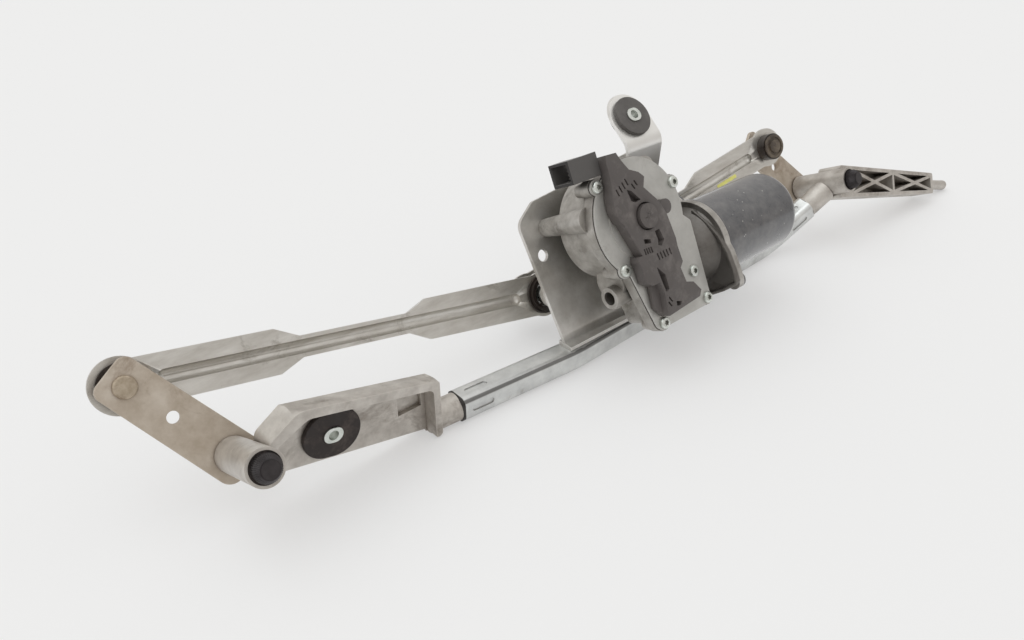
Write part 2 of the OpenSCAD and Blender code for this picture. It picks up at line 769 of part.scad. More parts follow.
module gear_housing() {
  color("#9A958E") difference() {
    union() {
      on_output(rim_z) linear_extrude(rim_t) case_outline(0);
      on_output(case_back_z) cylinder(r = wheel_case_r + 3.5, h = rim_z - case_back_z + 1);
      on_output(low_case_z) linear_extrude(rim_z - low_case_z + 1) round_outline(
        [[-9, case_low_y + 4], [44, case_low_y + 4], [44, -20], [20, 0], [-18, -20]], [5, 5, 3, 3, 3]);
      on_output(boss_z) cylinder(r = 13, h = case_back_z - boss_z + 1);
      for (p = leg_places) on_output(plate_front) translate(p)
        cylinder(r1 = 6.5, r2 = 9, h = rim_z - plate_front + 1);
      for (p = screw_places) on_output(rim_z - 8) translate(p) cylinder(r1 = 4.5, r2 = 5.5, h = 9);
      on_motor(bearing_x - 4) cylinder(r = tunnel_r, h = flange_x - bearing_x);
      on_motor(motor_x + 30) cylinder(r = neck_r, h = flange_x - motor_x - 29);
      on_motor(motor_x + 50) cylinder(r1 = neck_r, r2 = can_r - 1, h = flange_x - motor_x - 49);
      on_motor(flange_x) linear_extrude(can_x - flange_x) flange_outline();
      in_mechanism() translate([motor_x - 31, -1, motor_axis_z + 3]) along_x() cylinder(r = 8, h = 24);
    }
    on_output(case_back_z + 6) cylinder(r = wheel_case_r, h = case_front_z);
    on_output(boss_z - 1) cylinder(r = output_d / 2 + bush_wall + seat_gap, h = case_back_z);
    on_motor(bearing_x + bearing_len) cylinder(r = worm_bore_r, h = can_x - bearing_x);
    on_motor(bearing_x) cylinder(r = shaft_r + bush_wall + seat_gap, h = bearing_len + 1);
    in_mechanism() translate([motor_x - 32, -1, motor_axis_z + 3]) along_x() cylinder(r = 5, h = 12);
    for (p = screw_places) on_output(case_front_z - 12) translate(p) cylinder(r = screw_r + seat_gap, h = 13);
    for (p = leg_places) on_output(plate_front - 1) translate(p) cylinder(r = 3 + seat_gap, h = 15);
    on_motor(flange_x - 8) for (p = lug_places) translate(lug_point(p))
      cylinder(r = screw_r + seat_gap, h = 20);
  }
}

module gear_cover() {
  color("#C4C5C0") on_output(cover_z) difference() {
    union() {
      linear_extrude(cover_t) case_outline(-0.5);
      cylinder(r = 30, h = cover_t + 0.6);
    }
    for (p = screw_places) translate([p.x, p.y, -1]) cylinder(r = screw_r + seat_gap, h = cover_t + 2);
  }
}

module cover_gasket() {
  color("#2B2A28") on_output(case_front_z) difference() {
    linear_extrude(gasket_t) case_outline(-0.5);
    translate([0, 0, -1]) cylinder(r = wheel_r + 3, h = 3);
    for (p = screw_places) translate([p.x, p.y, -1]) cylinder(r = screw_r + seat_gap, h = 3);
  }
}

// Pan head screw with a plain recess, head on z = 0, shank down
module pan_screw(head_r, r, length) {
  difference() {
    union() {
      cylinder(r = head_r, h = head_r * 0.45);
      translate([0, 0, head_r * 0.45]) cylinder(r1 = head_r, r2 = head_r * 0.7, h = head_r * 0.25);
      translate([0, 0, -length]) cylinder(r = r, h = length + 0.5);
    }
    translate([0, 0, head_r * 0.35]) cylinder(r = head_r * 0.45, h = head_r, $fn = 6);
  }
}

module cover_screws() {
  color("#D9D8D4") on_output(cover_top_z) for (p = screw_places) translate(p) pan_screw(4.3, screw_r, 12);
}

module bracket_screws() {
  color(bright_steel) on_output(plate_front - plate_t) for (p = leg_places) translate(p)
    mirror([0, 0, 1]) pan_screw(6, 3, plate_t + 12);
}

// Plastic control cover on the gear cover
control_base = 5;
control_step = 9;

module control_cover() {
  top = cover_top_z + 0.6;
  color(black_plastic) on_output(top) difference() {
    union() {
      linear_extrude(control_base) polygon([[-26, 45], [-20, 49], [-9, 47], [-5, 36], [7, 27], [6, 20],
        [17, 4], [18, -6], [23, -30], [20, -55], [32, -58], [31, -66], [-5, -69], [-13, -62], [-11, -48],
        [-21, -26],
        [-17, -22], [-22, 2], [-33, 3], [-25.5, 26]]);
      linear_extrude(control_step) polygon([[-22, 42], [-12, 44], [-6, 30], [-2, 22], [9, 3], [12, -16],
        [4, -22], [-14, -18], [-17, 0], [-23, 22]]);
      linear_extrude(control_step) polygon([[2, -30], [19, -34], [17, -58], [-2, -62], [-6, -48]]);
      cylinder(r = 9.5, h = control_step + 3);
      translate([20, 2]) cylinder(r = 6, h = control_base + 1);
    }
    for (i = [0:4]) translate([-16 + 3.4 * i, 24 - 1.6 * i, 3]) rotate(20) cube([1.4, 8, 10]);
    for (i = [0:4]) translate([-8 + 4 * i, -27 + 0.6 * i, 2.5]) rotate(12) cube([1.6, 8, 10]);
    translate([-18, -14, 2]) rotate(-12) cube([5, 14, 12]);
    translate([10.5, -18, 2]) rotate(14) cube([4, 13, 12]);
  }
}

// Plug housing beside the control cover, open away from the motor
plug_low = [-52.3, 37.5, -18];
plug_size = [26, 16, 20];
plug_wall = 2;
plug_depth = 20;
pin_setback = 6;

module connector_housing() {
  color("#1A1616") on_output(cover_top_z + 0.6) difference() {
    translate(plug_low) cube(plug_size);
    translate(plug_low + [-1, plug_wall, plug_wall])
      cube([plug_depth + 1, plug_size.y - 2 * plug_wall, plug_size.z - 2 * plug_wall]);
    translate(plug_low + [plug_size.x / 2, plug_size.y - 2.5, -1]) rotate(-14) cube(plug_size);
  }
}

module connector_pins() {
  low = plug_low + [pin_setback, plug_wall + 1.5, plug_size.z / 2];
  color(copper) on_output(cover_top_z + 0.6) for (i = [0:3]) translate(low + [0, 2.6 * i, 0])
    cube([plug_depth - pin_setback, 1, 1.6]);
}

// Motor: drawn can, magnets, brushes and armature
brush_room = 26;
magnet_len = can_len - brush_room - 22;
magnet_t = 6;
core_gap = 1.6;
core_len = magnet_len - 4;

module motor_can() {
  round_r = 9;
  cup_r = 9;
  cup = 6;
  color(can_paint) on_motor(can_x) difference() {
    union() {
      rotate_extrude() {
        square([can_r, can_len - round_r]);
        square([can_r - round_r, can_len]);
        translate([can_r - round_r, can_len - round_r]) circle(round_r);
      }
      linear_extrude(2) flange_outline();
      cylinder(r = cup_r, h = can_len + cup);
    }
    rotate_extrude() {
      translate([0, -1]) square([can_r - can_wall, can_len - round_r + 1]);
      square([can_r - round_r, can_len - can_wall]);
      translate([can_r - round_r, can_len - round_r]) circle(round_r - can_wall);
    }
    translate([0, 0, can_len - 3]) cylinder(r = shaft_r + bush_wall + seat_gap, h = cup + 1);
    translate([0, 0, -1]) for (p = lug_places) translate(lug_point(p))
      cylinder(r = screw_r + seat_gap, h = 4);
  }
}

module can_screws() {
  color(bright_steel) on_motor(can_x + 2) for (p = lug_places) translate(lug_point(p))
    pan_screw(4.3, screw_r, 12);
}

module field_magnets() {
  color("#3A3A3C") on_motor(can_x + brush_room) for (turn = [0, 180]) rotate(turn - 65)
    rotate_extrude(angle = 130) translate([can_r - can_wall - magnet_t - seat_gap, 0])
      square([magnet_t, magnet_len]);
}

module armature_bearings() {
  color(bronze) {
    on_motor(bearing_x) ring(shaft_r + bush_wall, shaft_r + run_gap, bearing_len);
    on_motor(can_x + can_len - 3) ring(shaft_r + bush_wall, shaft_r + run_gap, 6.5);
  }
}

module brush_card() {
  color("#5A4A32") on_motor(can_x + 2.5) ring(can_r - can_wall - seat_gap, 13, 3);
  color("#5A4A32") on_motor(can_x + 5.5) for (turn = [0, 180]) rotate(turn) difference() {
    translate([13.5, -5, 0]) cube([12, 10, 10]);
    translate([12, -3.2, 1.5]) cube([13, 6.4, 6.4]);
  }
}

module brushes() {
  color("#2A2A2A") on_motor(can_x + 7.1) for (turn = [0, 180]) rotate(turn)
    translate([10.4, -3, 0]) cube([12, 6, 6]);
}

module output_bush() {
  color(bronze) on_output(boss_z) ring(output_d / 2 + bush_wall, output_d / 2 + run_gap,
    case_back_z + 6 - boss_z);
}

module armature_shaft() {
  front = bearing_x + 0.5;
  root_r = worm_r - 1.4;
  threads = [for (z = [0:worm_pitch:2 * worm_half - worm_pitch])
    each [[root_r, z + 0.2], [worm_r, z + 1.2], [worm_r, z + 2.2], [root_r, z + 3.2]]];
  color(bright_steel) {
    on_motor(front) cylinder(r = shaft_r, h = can_x + can_len + 3 - front);
    on_motor(motor_x - worm_half) rotate_extrude() polygon(concat([[0, 0]], threads, [[0, 2 * worm_half]]));
  }
}

module armature_core() {
  core_r = can_r - can_wall - magnet_t - core_gap;
  color("#6E6A64") on_motor(can_x + brush_room + 2) difference() {
    linear_extrude(core_len) difference() {
      circle(core_r);
      for (i = [0:11]) rotate(30 * i) {
        translate([core_r - 4, -0.8]) square([5, 1.6]);
        translate([core_r - 6, 0]) circle(2.4);
      }
    }
    translate([0, 0, -1]) cylinder(r = shaft_r + seat_gap, h = core_len + 2);
  }
}

module commutator() {
  color(copper) on_motor(can_x + 6.5) difference() {
    linear_extrude(12) difference() {
      circle(10);
      for (i = [0:11]) rotate(30 * i) translate([9, -0.3]) square([2, 0.6]);
    }
    translate([0, 0, -1]) cylinder(r = shaft_r + seat_gap, h = 14);
  }
}

// Motor bracket: pressed plate that stands on the tube, with a foot and a bent ear
module plate_outline() {
  round_outline([[-50, -90], [58, -90], [92, 20], [84, 44], [-42, 32], [-60, 20]], [4, 6, 10, 8, 6, 10]);
}

// Side of the ear: forward and up from the plate, then along the tilted mount face
module ear_side() {
  y = cos(ear_tilt);
  z = sin(ear_tilt);
  low = [ear_centre.y - 22 * y, ear_centre.z + 22 * z];
  high = [ear_centre.y + top_grommet_d * y, ear_centre.z - top_grommet_d * z];
  off = plate_t * [z, y];
  root = [motor_y + 14, plate_front];
  polygon([root, root - [0, plate_t], root + [plate_t + 1, -plate_t], low - off, high - off, high, low]);
}

module ear_outline() {
  translate([ear_centre.x, ear_centre.y]) circle(top_grommet_d / 2 + 3);
  polygon([[ear_centre.x - 19, ear_centre.y], [ear_centre.x - 15, motor_y + 10],
    [ear_centre.x + 24, motor_y + 10], [ear_centre.x + 19, ear_centre.y]]);
}

module on_ear() { in_mechanism() translate(ear_centre) rotate([-ear_tilt, 0, 0]) children(); }

module motor_bracket() {
  foot_from = motor_x - 52;
  color(plate_steel) difference() {
    union() {
      on_output(plate_front - plate_t) linear_extrude(plate_t) plate_outline();
      in_mechanism() intersection() {
        rotate([90, 0, 90]) linear_extrude(spindle_gap) ear_side();
        linear_extrude(80) ear_outline();
      }
      in_level() translate([foot_from, tube_top_y, 24]) cube([106, plate_t, 13]);
    }
    in_level() translate([foot_from - 20, tube_top_y - 60, -40]) cube([200, 60, 120]);
    on_output(0) cylinder(r = 16, h = 40);
    on_output(0) translate([-47, -7]) cylinder(d = plate_hole_d, h = 40);
    for (p = leg_places) on_output(0) translate(p) cylinder(r = 3 + seat_gap, h = 40);
    on_ear() translate([0, 0, -plate_t - 1]) cylinder(r = top_grommet_d / 2 - 4, h = plate_t + 2);
  }
}

module top_mount_grommet() {
  neck = top_grommet_d - 8 - 2 * seat_gap;
  color(rubber) on_ear() translate([0, 0, -plate_t - seat_gap])
    grommet(ear_seat, top_grommet_d, top_grommet_d - 0.1, neck, neck - 0.1, grommet_flange,
      sleeve_r + seat_gap);
}

module top_mount_sleeve() {
  color(bright_steel) on_ear() translate([0, 0, -plate_t - seat_gap]) sleeve(ear_seat);
}

frame_tube();
near_pivot_housing();
far_pivot_housing();
near_mount_grommet();
near_mount_sleeve();
top_mount_grommet();
top_mount_sleeve();
motor_bracket();
bracket_screws();
gear_housing();
gear_cover();
cover_gasket();
cover_screws();
control_cover();
connector_housing();
connector_pins();
motor_can();
can_screws();
field_magnets();
brush_card();
brushes();
armature_bearings();
output_bush();
near_spindle_bushes();
far_spindle_bushes();
thrust_washers();
spindle_seals();
near_spindle();
near_lever();
near_ball_stud();
far_spindle();
far_lever();
far_ball_stud();
near_link_rod();
near_lever_socket();
near_crank_socket();
far_link_rod();
far_lever_socket();
far_crank_socket();
output_shaft();
worm_wheel();
crank_arm();
crank_ball_stud();
crank_nut();
armature_shaft();
armature_core();
commutator();
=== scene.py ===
"""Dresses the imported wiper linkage: worn finishes, fine pieces and a plain studio."""

import json
import math

import bmesh
import bpy
from mathutils import Matrix, Vector


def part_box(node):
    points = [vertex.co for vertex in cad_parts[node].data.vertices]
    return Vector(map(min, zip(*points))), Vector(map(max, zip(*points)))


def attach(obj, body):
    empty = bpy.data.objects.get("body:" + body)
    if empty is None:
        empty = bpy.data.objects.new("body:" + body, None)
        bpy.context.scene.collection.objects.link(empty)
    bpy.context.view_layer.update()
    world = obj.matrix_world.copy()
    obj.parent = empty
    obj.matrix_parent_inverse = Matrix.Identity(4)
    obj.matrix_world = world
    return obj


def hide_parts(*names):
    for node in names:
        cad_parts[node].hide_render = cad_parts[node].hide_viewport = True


bl_info = {
    "name": "Wiper Linkage Dressing",
    "version": (1, 0, 0),
    "blender": (4, 5, 0),
    "location": "3D View > Sidebar > Linkage",
    "description": "Finishes, rounded edges, knurls, screws and a plain studio for a wiper linkage",
    "category": "Object",
}

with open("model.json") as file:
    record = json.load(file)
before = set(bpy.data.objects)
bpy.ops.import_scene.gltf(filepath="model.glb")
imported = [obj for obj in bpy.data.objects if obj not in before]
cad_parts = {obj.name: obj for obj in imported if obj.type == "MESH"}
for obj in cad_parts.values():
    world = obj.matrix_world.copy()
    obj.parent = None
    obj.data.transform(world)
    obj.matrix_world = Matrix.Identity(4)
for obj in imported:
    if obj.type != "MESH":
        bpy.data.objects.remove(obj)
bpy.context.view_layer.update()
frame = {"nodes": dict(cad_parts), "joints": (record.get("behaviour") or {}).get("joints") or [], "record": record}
NODES = frame["nodes"]
JOINTS = {j["name"]: j for j in frame["joints"]}
MOUNTS = {m["name"]: m for m in frame["record"]["mounts"]}
BODY_OF = {n: b for b, names in frame["record"]["behaviour"]["bodies"].items() for n in names}
MM = 0.001

# The spindles' direction, the turn from the world's axes to the linkage's, and the frames at the output
# shaft and at the motor
SPINDLE_AXIS = Vector(JOINTS["crank_turn"]["axis"])
LINKAGE_TURN = Vector((0, 0, 1)).rotation_difference(SPINDLE_AXIS).to_matrix().to_4x4()
OUTPUT = Matrix.Translation(JOINTS["crank_turn"]["pos_m"]) @ LINKAGE_TURN
MOTOR = Matrix.Translation(JOINTS["armature_spin"]["pos_m"]) @ LINKAGE_TURN

# What each CAD node is made of
NODE_FINISH = {
    "galvanised_tube": ["frame_tube"],
    "die_cast_aluminium": ["near_pivot_housing", "far_pivot_housing"],
    "grimy_cast_aluminium": ["gear_housing"],
    "zinc_sheet": ["gear_cover"],
    "dusty_rubber": ["near_mount_grommet", "spindle_seals", "cover_gasket"],
    "sunned_rubber": ["top_mount_grommet"],
    "bright_zinc": ["near_mount_sleeve", "top_mount_sleeve", "bracket_screws", "cover_screws", "can_screws",
        "crank_ball_stud", "crank_nut", "output_shaft", "armature_shaft", "thrust_washers"],
    "stained_rivet_steel": ["near_ball_stud", "far_ball_stud"],
    "pressed_bracket_steel": ["motor_bracket", "crank_arm"],
    "tan_zinc_steel": ["near_lever", "far_lever"],
    "pressed_rod_steel": ["near_link_rod", "far_link_rod"],
    "blackened_steel": ["near_spindle", "far_spindle"],
    "can_enamel": ["motor_can"],
    "filled_nylon": ["control_cover"],
    "plug_nylon": ["connector_housing"],
    "greased_nylon": ["near_lever_socket", "near_crank_socket", "far_lever_socket", "far_crank_socket"],
    "acetal": ["worm_wheel"],
    "pressed_board": ["brush_card"],
    "carbon_block": ["brushes"],
    "sintered_ferrite": ["field_magnets"],
    "stacked_core_steel": ["armature_core"],
    "bare_copper": ["commutator"],
    "dull_tin": ["connector_pins"],
    "sintered_bronze": ["armature_bearings", "output_bush", "near_spindle_bushes", "far_spindle_bushes"],
}
FINISH_OF = {n: f for f, names in NODE_FINISH.items() for n in names}

# Patterns shared by the finishes: dust film, paint chips and rubbed edges, which also paint edge highlights,
# and the colour of settled dust, which also paints light on upper faces
FILM = 14 * MM
CHIP = 7 * MM
EDGE_WEAR_AND_LIGHT = 1.6 * MM
DUST_AND_TOP_LIGHT = "#8C8A88"

# Marks on the finishes: the tube's near end, the dark gap there and the facing of its painted dark reflection,
# then the painted shade on the gear housing's neck and the painted light on the bracket's ear, in millimetres
# from the motor and the top bore
TUBE_START = 145 * MM
TUBE_GAP = (1.6 * MM, 1.9 * MM)
TUBE_REFLECTION_FACING = (0.0, -0.78, 0.62)
NECK_SHADE = ((34, 0.0), (42, 0.75), (64.7, 0.75), (66, 0.0))
EAR_LIGHT = ((-36, 0.0), (-22, 0.85))

# Meshes: merging distance, turns that count as flat, sharp and smooth, and steps of an edge and of a round
MERGED = 0.002 * MM
FLAT = math.radians(0.4)
SHARP = math.radians(38)
SMOOTH = math.radians(32)
SMOOTH_TURNED = math.radians(35)
SMOOTH_SCREW = math.radians(30)
SMOOTH_BUTTON = math.radians(40)
EDGE_STEPS = 2
ROUND_STEPS = 48

# Nodes whose sharp CAD edges are rounded, with the rounding as a share of the cast or sheet edge
CAST_EDGES = {"far_pivot_housing": 0.8, "gear_housing": 0.7, "connector_housing": 0.8,
    "near_mount_grommet": 1.2, "top_mount_grommet": 1.2, "motor_can": 0.6}
SHEET_EDGES = {"near_lever": 1.2, "far_lever": 1.2, "gear_cover": 1.0, "crank_arm": 1.2,
    "near_mount_sleeve": 0.8, "top_mount_sleeve": 0.8}
BRACKET_EDGE = 1.2

# Folds of the bracket: least length, range of turn in degrees, roll and its steps
FOLD_SPAN = 25 * MM
FOLD_LEAST = 20
FOLD_MOST = 70
FOLD_ROLL = 6 * MM
FOLD_STEPS = 6

# Pocket of the near housing's arm, in millimetres in the arm's own frame
SPINDLE_END = 62 * MM
ARM_LEAN = math.radians(27)
ARM_ROOT = Vector(MOUNTS["near_spindle_end"]["pos_m"]) - SPINDLE_AXIS * SPINDLE_END
NEAR_ARM = Matrix.Translation(ARM_ROOT) @ LINKAGE_TURN @ Matrix.Rotation(ARM_LEAN, 4, "X")
POCKET = ((13.5, -40), (122, -70), (122, 4), (36, 27.1), (14, 17))
POCKET_RADII = (3, 4, 5, 9, 6)
POCKET_FLOOR = 20
POCKET_OUT = 45

# Cone and stepped tip above the knurl of a spindle
CONE_RISE = 4.1 * MM
CONE_SHARE = 0.71
TIP_RIM = 0.5 * MM
TIP_RISE = 0.4 * MM
TIP_CENTRE = 0.4 * MM

# Peened heads of the lever ball studs
RIVET_R = 6.7 * MM
RIVET_RISE = 2.3 * MM
RIVET_DOME = 1.5 * MM
RIVET_STEPS = 6
BALL_TO_RIVET = 15 * MM

# The crank's throw, direction in degrees and ball heights, which aim the rods
CRANK_R = 52 * MM
CRANK_TURN = math.radians(231)
CRANK_BALL = {"near": -15 * MM, "far": -33 * MM}

# Caps on the lever sockets
SOCKET_DEPTH = 9.4 * MM
CAP_R = 10.4 * MM
CAP_RISE = 1.8 * MM
CAP_RIM = 2.4 * MM
CAP_STEP = 1.1 * MM
CAP_EDGE = CAP_STEP / 4

# Web of the motor flange: across and out from the motor's axis in millimetres, and along it
WEB_OUTLINE = ((27.5, 13.6), (15.9, 24.6), (4.7, 31.9), (-9, 36.5), (-22.6, 38), (-31.7, 38.5), (-34.3, 36.5),
    (-38.3, 23.7), (-41.2, 9.9), (-37.5, 2), (-22, 1), (-20, 10), (-14, 17.5), (-5, 22), (5, 22), (14, 17.5),
    (20, 10))
WEB_FRONT = 61.5
WEB_BACK = 70.5
WEB_RIM = 2.6 * MM
WEB_DEPTH = 3 * MM
WEB_TURN = Matrix(((0, 0, 1), (1, 0, 0), (0, 1, 0))).to_4x4()

# Control cover in millimetres, drawn about the output shaft on the gear cover
CONTROL_SEAT = Matrix.Translation((0, 0, 78.7 * MM))
CONTROL_H = 8.5
CONTROL_FLOOR = 3
CONTROL_EDGE = 0.25 * MM
TAB_PLACE = (20, 1.8)
TAB_R = 5.3
TAB_STEP = 2.5
VENT_W = 1.3
CONTROL_OUTLINE = (
    (-26, 44), (-24.5, 49), (-15, 48.5), (-12.6, 43), (-7.6, 35), (0.3, 31.3), (4.5, 27), (1.2, 20.3),
    (12.4, 7), (16, -2.6), (18.5, -21.5), (18, -27.5), (19, -39), (15.3, -42.5), (17.2, -53.7), (24, -56),
    (29.7, -64), (26.7, -68), (-7.6, -70.4), (-14.3, -62.4), (-13, -46.5), (-20, -42), (-20.8, -30),
    (-22, -26.5), (-20.5, -23), (-17, -23.3), (-25.7, 1.7), (-28, 4), (-29.9, 11), (-29, 21), (-26.8, 27),
    (-26, 36),
)
CONTROL_WELLS = (
    ((-14.7, 22.9), (-10.8, 21), (-4.5, 13.2), (-9.8, 12.6), (-13.4, 14.6)),
    ((0.4, -10.8), (5, -10.5), (7.1, -18.8), (3.2, -22.3), (0.1, -20.9), (1, -16.9)),
    ((-12, -12.8), (-5.6, -14.8), (-6, -17.6), (-12, -16.1)),
    ((-7.2, -34.3), (-3.9, -38.5), (-1, -42), (-0.9, -52.6), (-4.5, -53.9), (-6.1, -43.8)),
    ((2.5, -63), (7.6, -64.9), (5.4, -67.2), (1.9, -66.3)),
    ((-16, -62), (-15, -45.5), (-8, -45.5), (-6.3, -55), (-7, -60), (-9, -72)),
)
# Rows of vents: first slit, step to the next, count, length and direction in degrees
VENT_ROWS = (
    ((-13.8, 30.2), (-3.4, -1.6), 4, 5.2, -72),
    ((-6, 27.1), (-3, -1.6), 2, 4.6, -63),
    ((-13.9, -19.3), (2.15, -0.1), 4, 4.4, -84),
    ((-3.2, -25.8), (3.1, 0), 5, 5.2, -80),
    ((-3.4, -58), (-1.8, -2.8), 2, 4.6, -62),
)

# Button of the control cover, in millimetres, and the roughness of its face
BUTTON_PLACE = (-3.3, 1.1)
BUTTON_R = 8.6
BUTTON_GAP = 1.2
BUTTON_FOOT = 2.5
BUTTON_TOP = 11
BUTTON_RINGS = 6
BUTTON_ROUGH = 0.14 * MM

# Stroke of marking paint on the far rod: place in the rod's frame, size, cells, ragged edge and thickness
ROD_FRONT = 1.27 * MM
DAB_PLACE = (55 * MM, 7.2 * MM, ROD_FRONT)
DAB_LENGTH = 23 * MM
DAB_WIDTH = 3.2 * MM
DAB_GRID = (24, 3)
DAB_RAGGED = 0.25 * MM
DAB_SEED = 3
DAB_THICK = 0.12 * MM

# Screw places in millimetres: on the gear cover about the output shaft, and on the can's lugs about the motor
COVER_SCREWS = ((-32, 30.5), (39, 15), (-28, -29.5), (36, -51.5), (-6, -76), (43, -74.5))
COVER_TOP = 78.1
CAN_SCREWS = ((-32.4, 31.5), (42.3, -15.3))
CAN_FLANGE = 73.0
# A screw head's rounding steps and lobes, then shares of its radius: height, rounding, rim, reach of the
# recess, depth of a lobe and depth of the recess
HEAD_STEPS = 3
STAR_LOBES = 6
HEAD_HEIGHT = 0.62
HEAD_ROUND = 0.28
HEAD_RIM = 0.14
STAR_REACH = 0.5
STAR_LOBE = 0.13
STAR_DEPTH = 0.42

# Stage: floor, sky from the horizon's foot to the top, sun and the photograph's camera
FLOOR_SIZE = 12
FLOOR_PLACE = (0.3, 0)
# Share of the floor that shows its plain colour, so that its shadows stay pale
FLOOR_FILL = 0.45
SKY_LOW = (0.51, 0.485, 0.46, 1)
SKY_HIGH = (0.98, 0.97, 0.955, 1)
SUN_TURN = (math.radians(-16), math.radians(-18), 0)
SUN_ENERGY = 0.62
SUN_SPREAD = math.radians(60)
SUN_COLOUR = (0.9, 0.97, 1.0)
CAMERA_PLACE = (-0.1024, -0.3195, 0.2935)
CAMERA_AIM = (0.5424, 0.6392, -0.5452)
CAMERA_ROLL = math.radians(-0.475)
CAMERA_SENSOR = 36
CAMERA_LENS = 28.125
CAMERA_NEAR = 0.01


class LinkageColours(bpy.types.PropertyGroup):
    """Colours a user would change."""

    lever: bpy.props.StringProperty(name="Lever", description="Aged zinc on the levers", default="#B3A696")
    rod: bpy.props.StringProperty(name="Rod", description="Zinc on the pressed link rods", default="#C4C0B9")
    cast: bpy.props.StringProperty(name="Castings", description="Die cast pivot housings", default="#B0AAA3")
    tube: bpy.props.StringProperty(name="Tube", description="Galvanised frame tube", default="#C5C6C5")
    bracket: bpy.props.StringProperty(name="Bracket", description="Pressed motor bracket", default="#B5B1AA")
    gearbox: bpy.props.StringProperty(name="Gearbox", description="Grimy gear housing", default="#98948E")
    cover: bpy.props.StringProperty(name="Gear cover", description="Zinc sheet cover", default="#B4B3AF")
    can: bpy.props.StringProperty(name="Motor can", description="Grey gloss paint of the can",
        default="#434346")
    plastic: bpy.props.StringProperty(name="Control cover", description="Filled nylon cover",
        default="#575250")
    rubber: bpy.props.StringProperty(name="Rubber", description="Grommets and seals", default="#2B2422")
    floor: bpy.props.StringProperty(name="Floor", description="Pale studio floor", default="#EFEFEF")


class LinkageSizes(bpy.types.PropertyGroup):
    """Sizes of the fine pieces."""

    edge: bpy.props.FloatProperty(name="Cast edge", description="Rounding of cast edges", default=0.7 * MM,
        unit="LENGTH")
    sheet_edge: bpy.props.FloatProperty(name="Sheet edge", description="Rounding of pressed edges",
        default=0.35 * MM, unit="LENGTH")
    knurl_teeth: bpy.props.IntProperty(name="Knurl teeth", description="Teeth round a spindle end",
        default=44, min=12)
    knurl_depth: bpy.props.FloatProperty(name="Knurl depth", description="Height of the knurl",
        default=0.45 * MM, unit="LENGTH")
    screw_head: bpy.props.FloatProperty(name="Screw head", description="Radius of the small screw heads",
        default=4.3 * MM, unit="LENGTH")


def colours():
    return bpy.context.scene.linkage_colours


def sizes():
    return bpy.context.scene.linkage_sizes


def linear(code):
    """Linear RGBA of an sRGB hex colour."""
    channels = [int(code[i:i + 2], 16) / 255 for i in (1, 3, 5)]
    return tuple(c / 12.92 if c <= 0.04045 else ((c + 0.055) / 1.055) ** 2.4 for c in channels) + (1.0,)


def grey(value):
    return (value, value, value, 1.0)


def add(tree, kind, inputs=None, stops=(), **settings):
    """Adds a node with its settings, constant inputs, links and, on a ramp, its (place, colour) stops."""
    node = tree.nodes.new(kind)
    for key, value in settings.items():
        setattr(node, key, value)
    for key, value in (inputs or {}).items():
        if isinstance(value, bpy.types.NodeSocket):
            tree.links.new(value, node.inputs[key])
        else:
            node.inputs[key].default_value = value
    for i, (place, colour) in enumerate(stops):
        if i > 1:
            node.color_ramp.elements.new(place)
        node.color_ramp.elements[i].position = place
        node.color_ramp.elements[i].color = colour
    return node


def new_material(name):
    """A material with a plain shader, its node tree, the shader and the object's own coordinates."""
    material = bpy.data.materials.new(name)
    material.use_nodes = True
    tree = material.node_tree
    tree.nodes.clear()
    shader = add(tree, "ShaderNodeBsdfPrincipled")
    add(tree, "ShaderNodeOutputMaterial", {"Surface": shader.outputs["BSDF"]})
    place = add(tree, "ShaderNodeTexCoord").outputs["Object"]
    return material, tree, shader, place


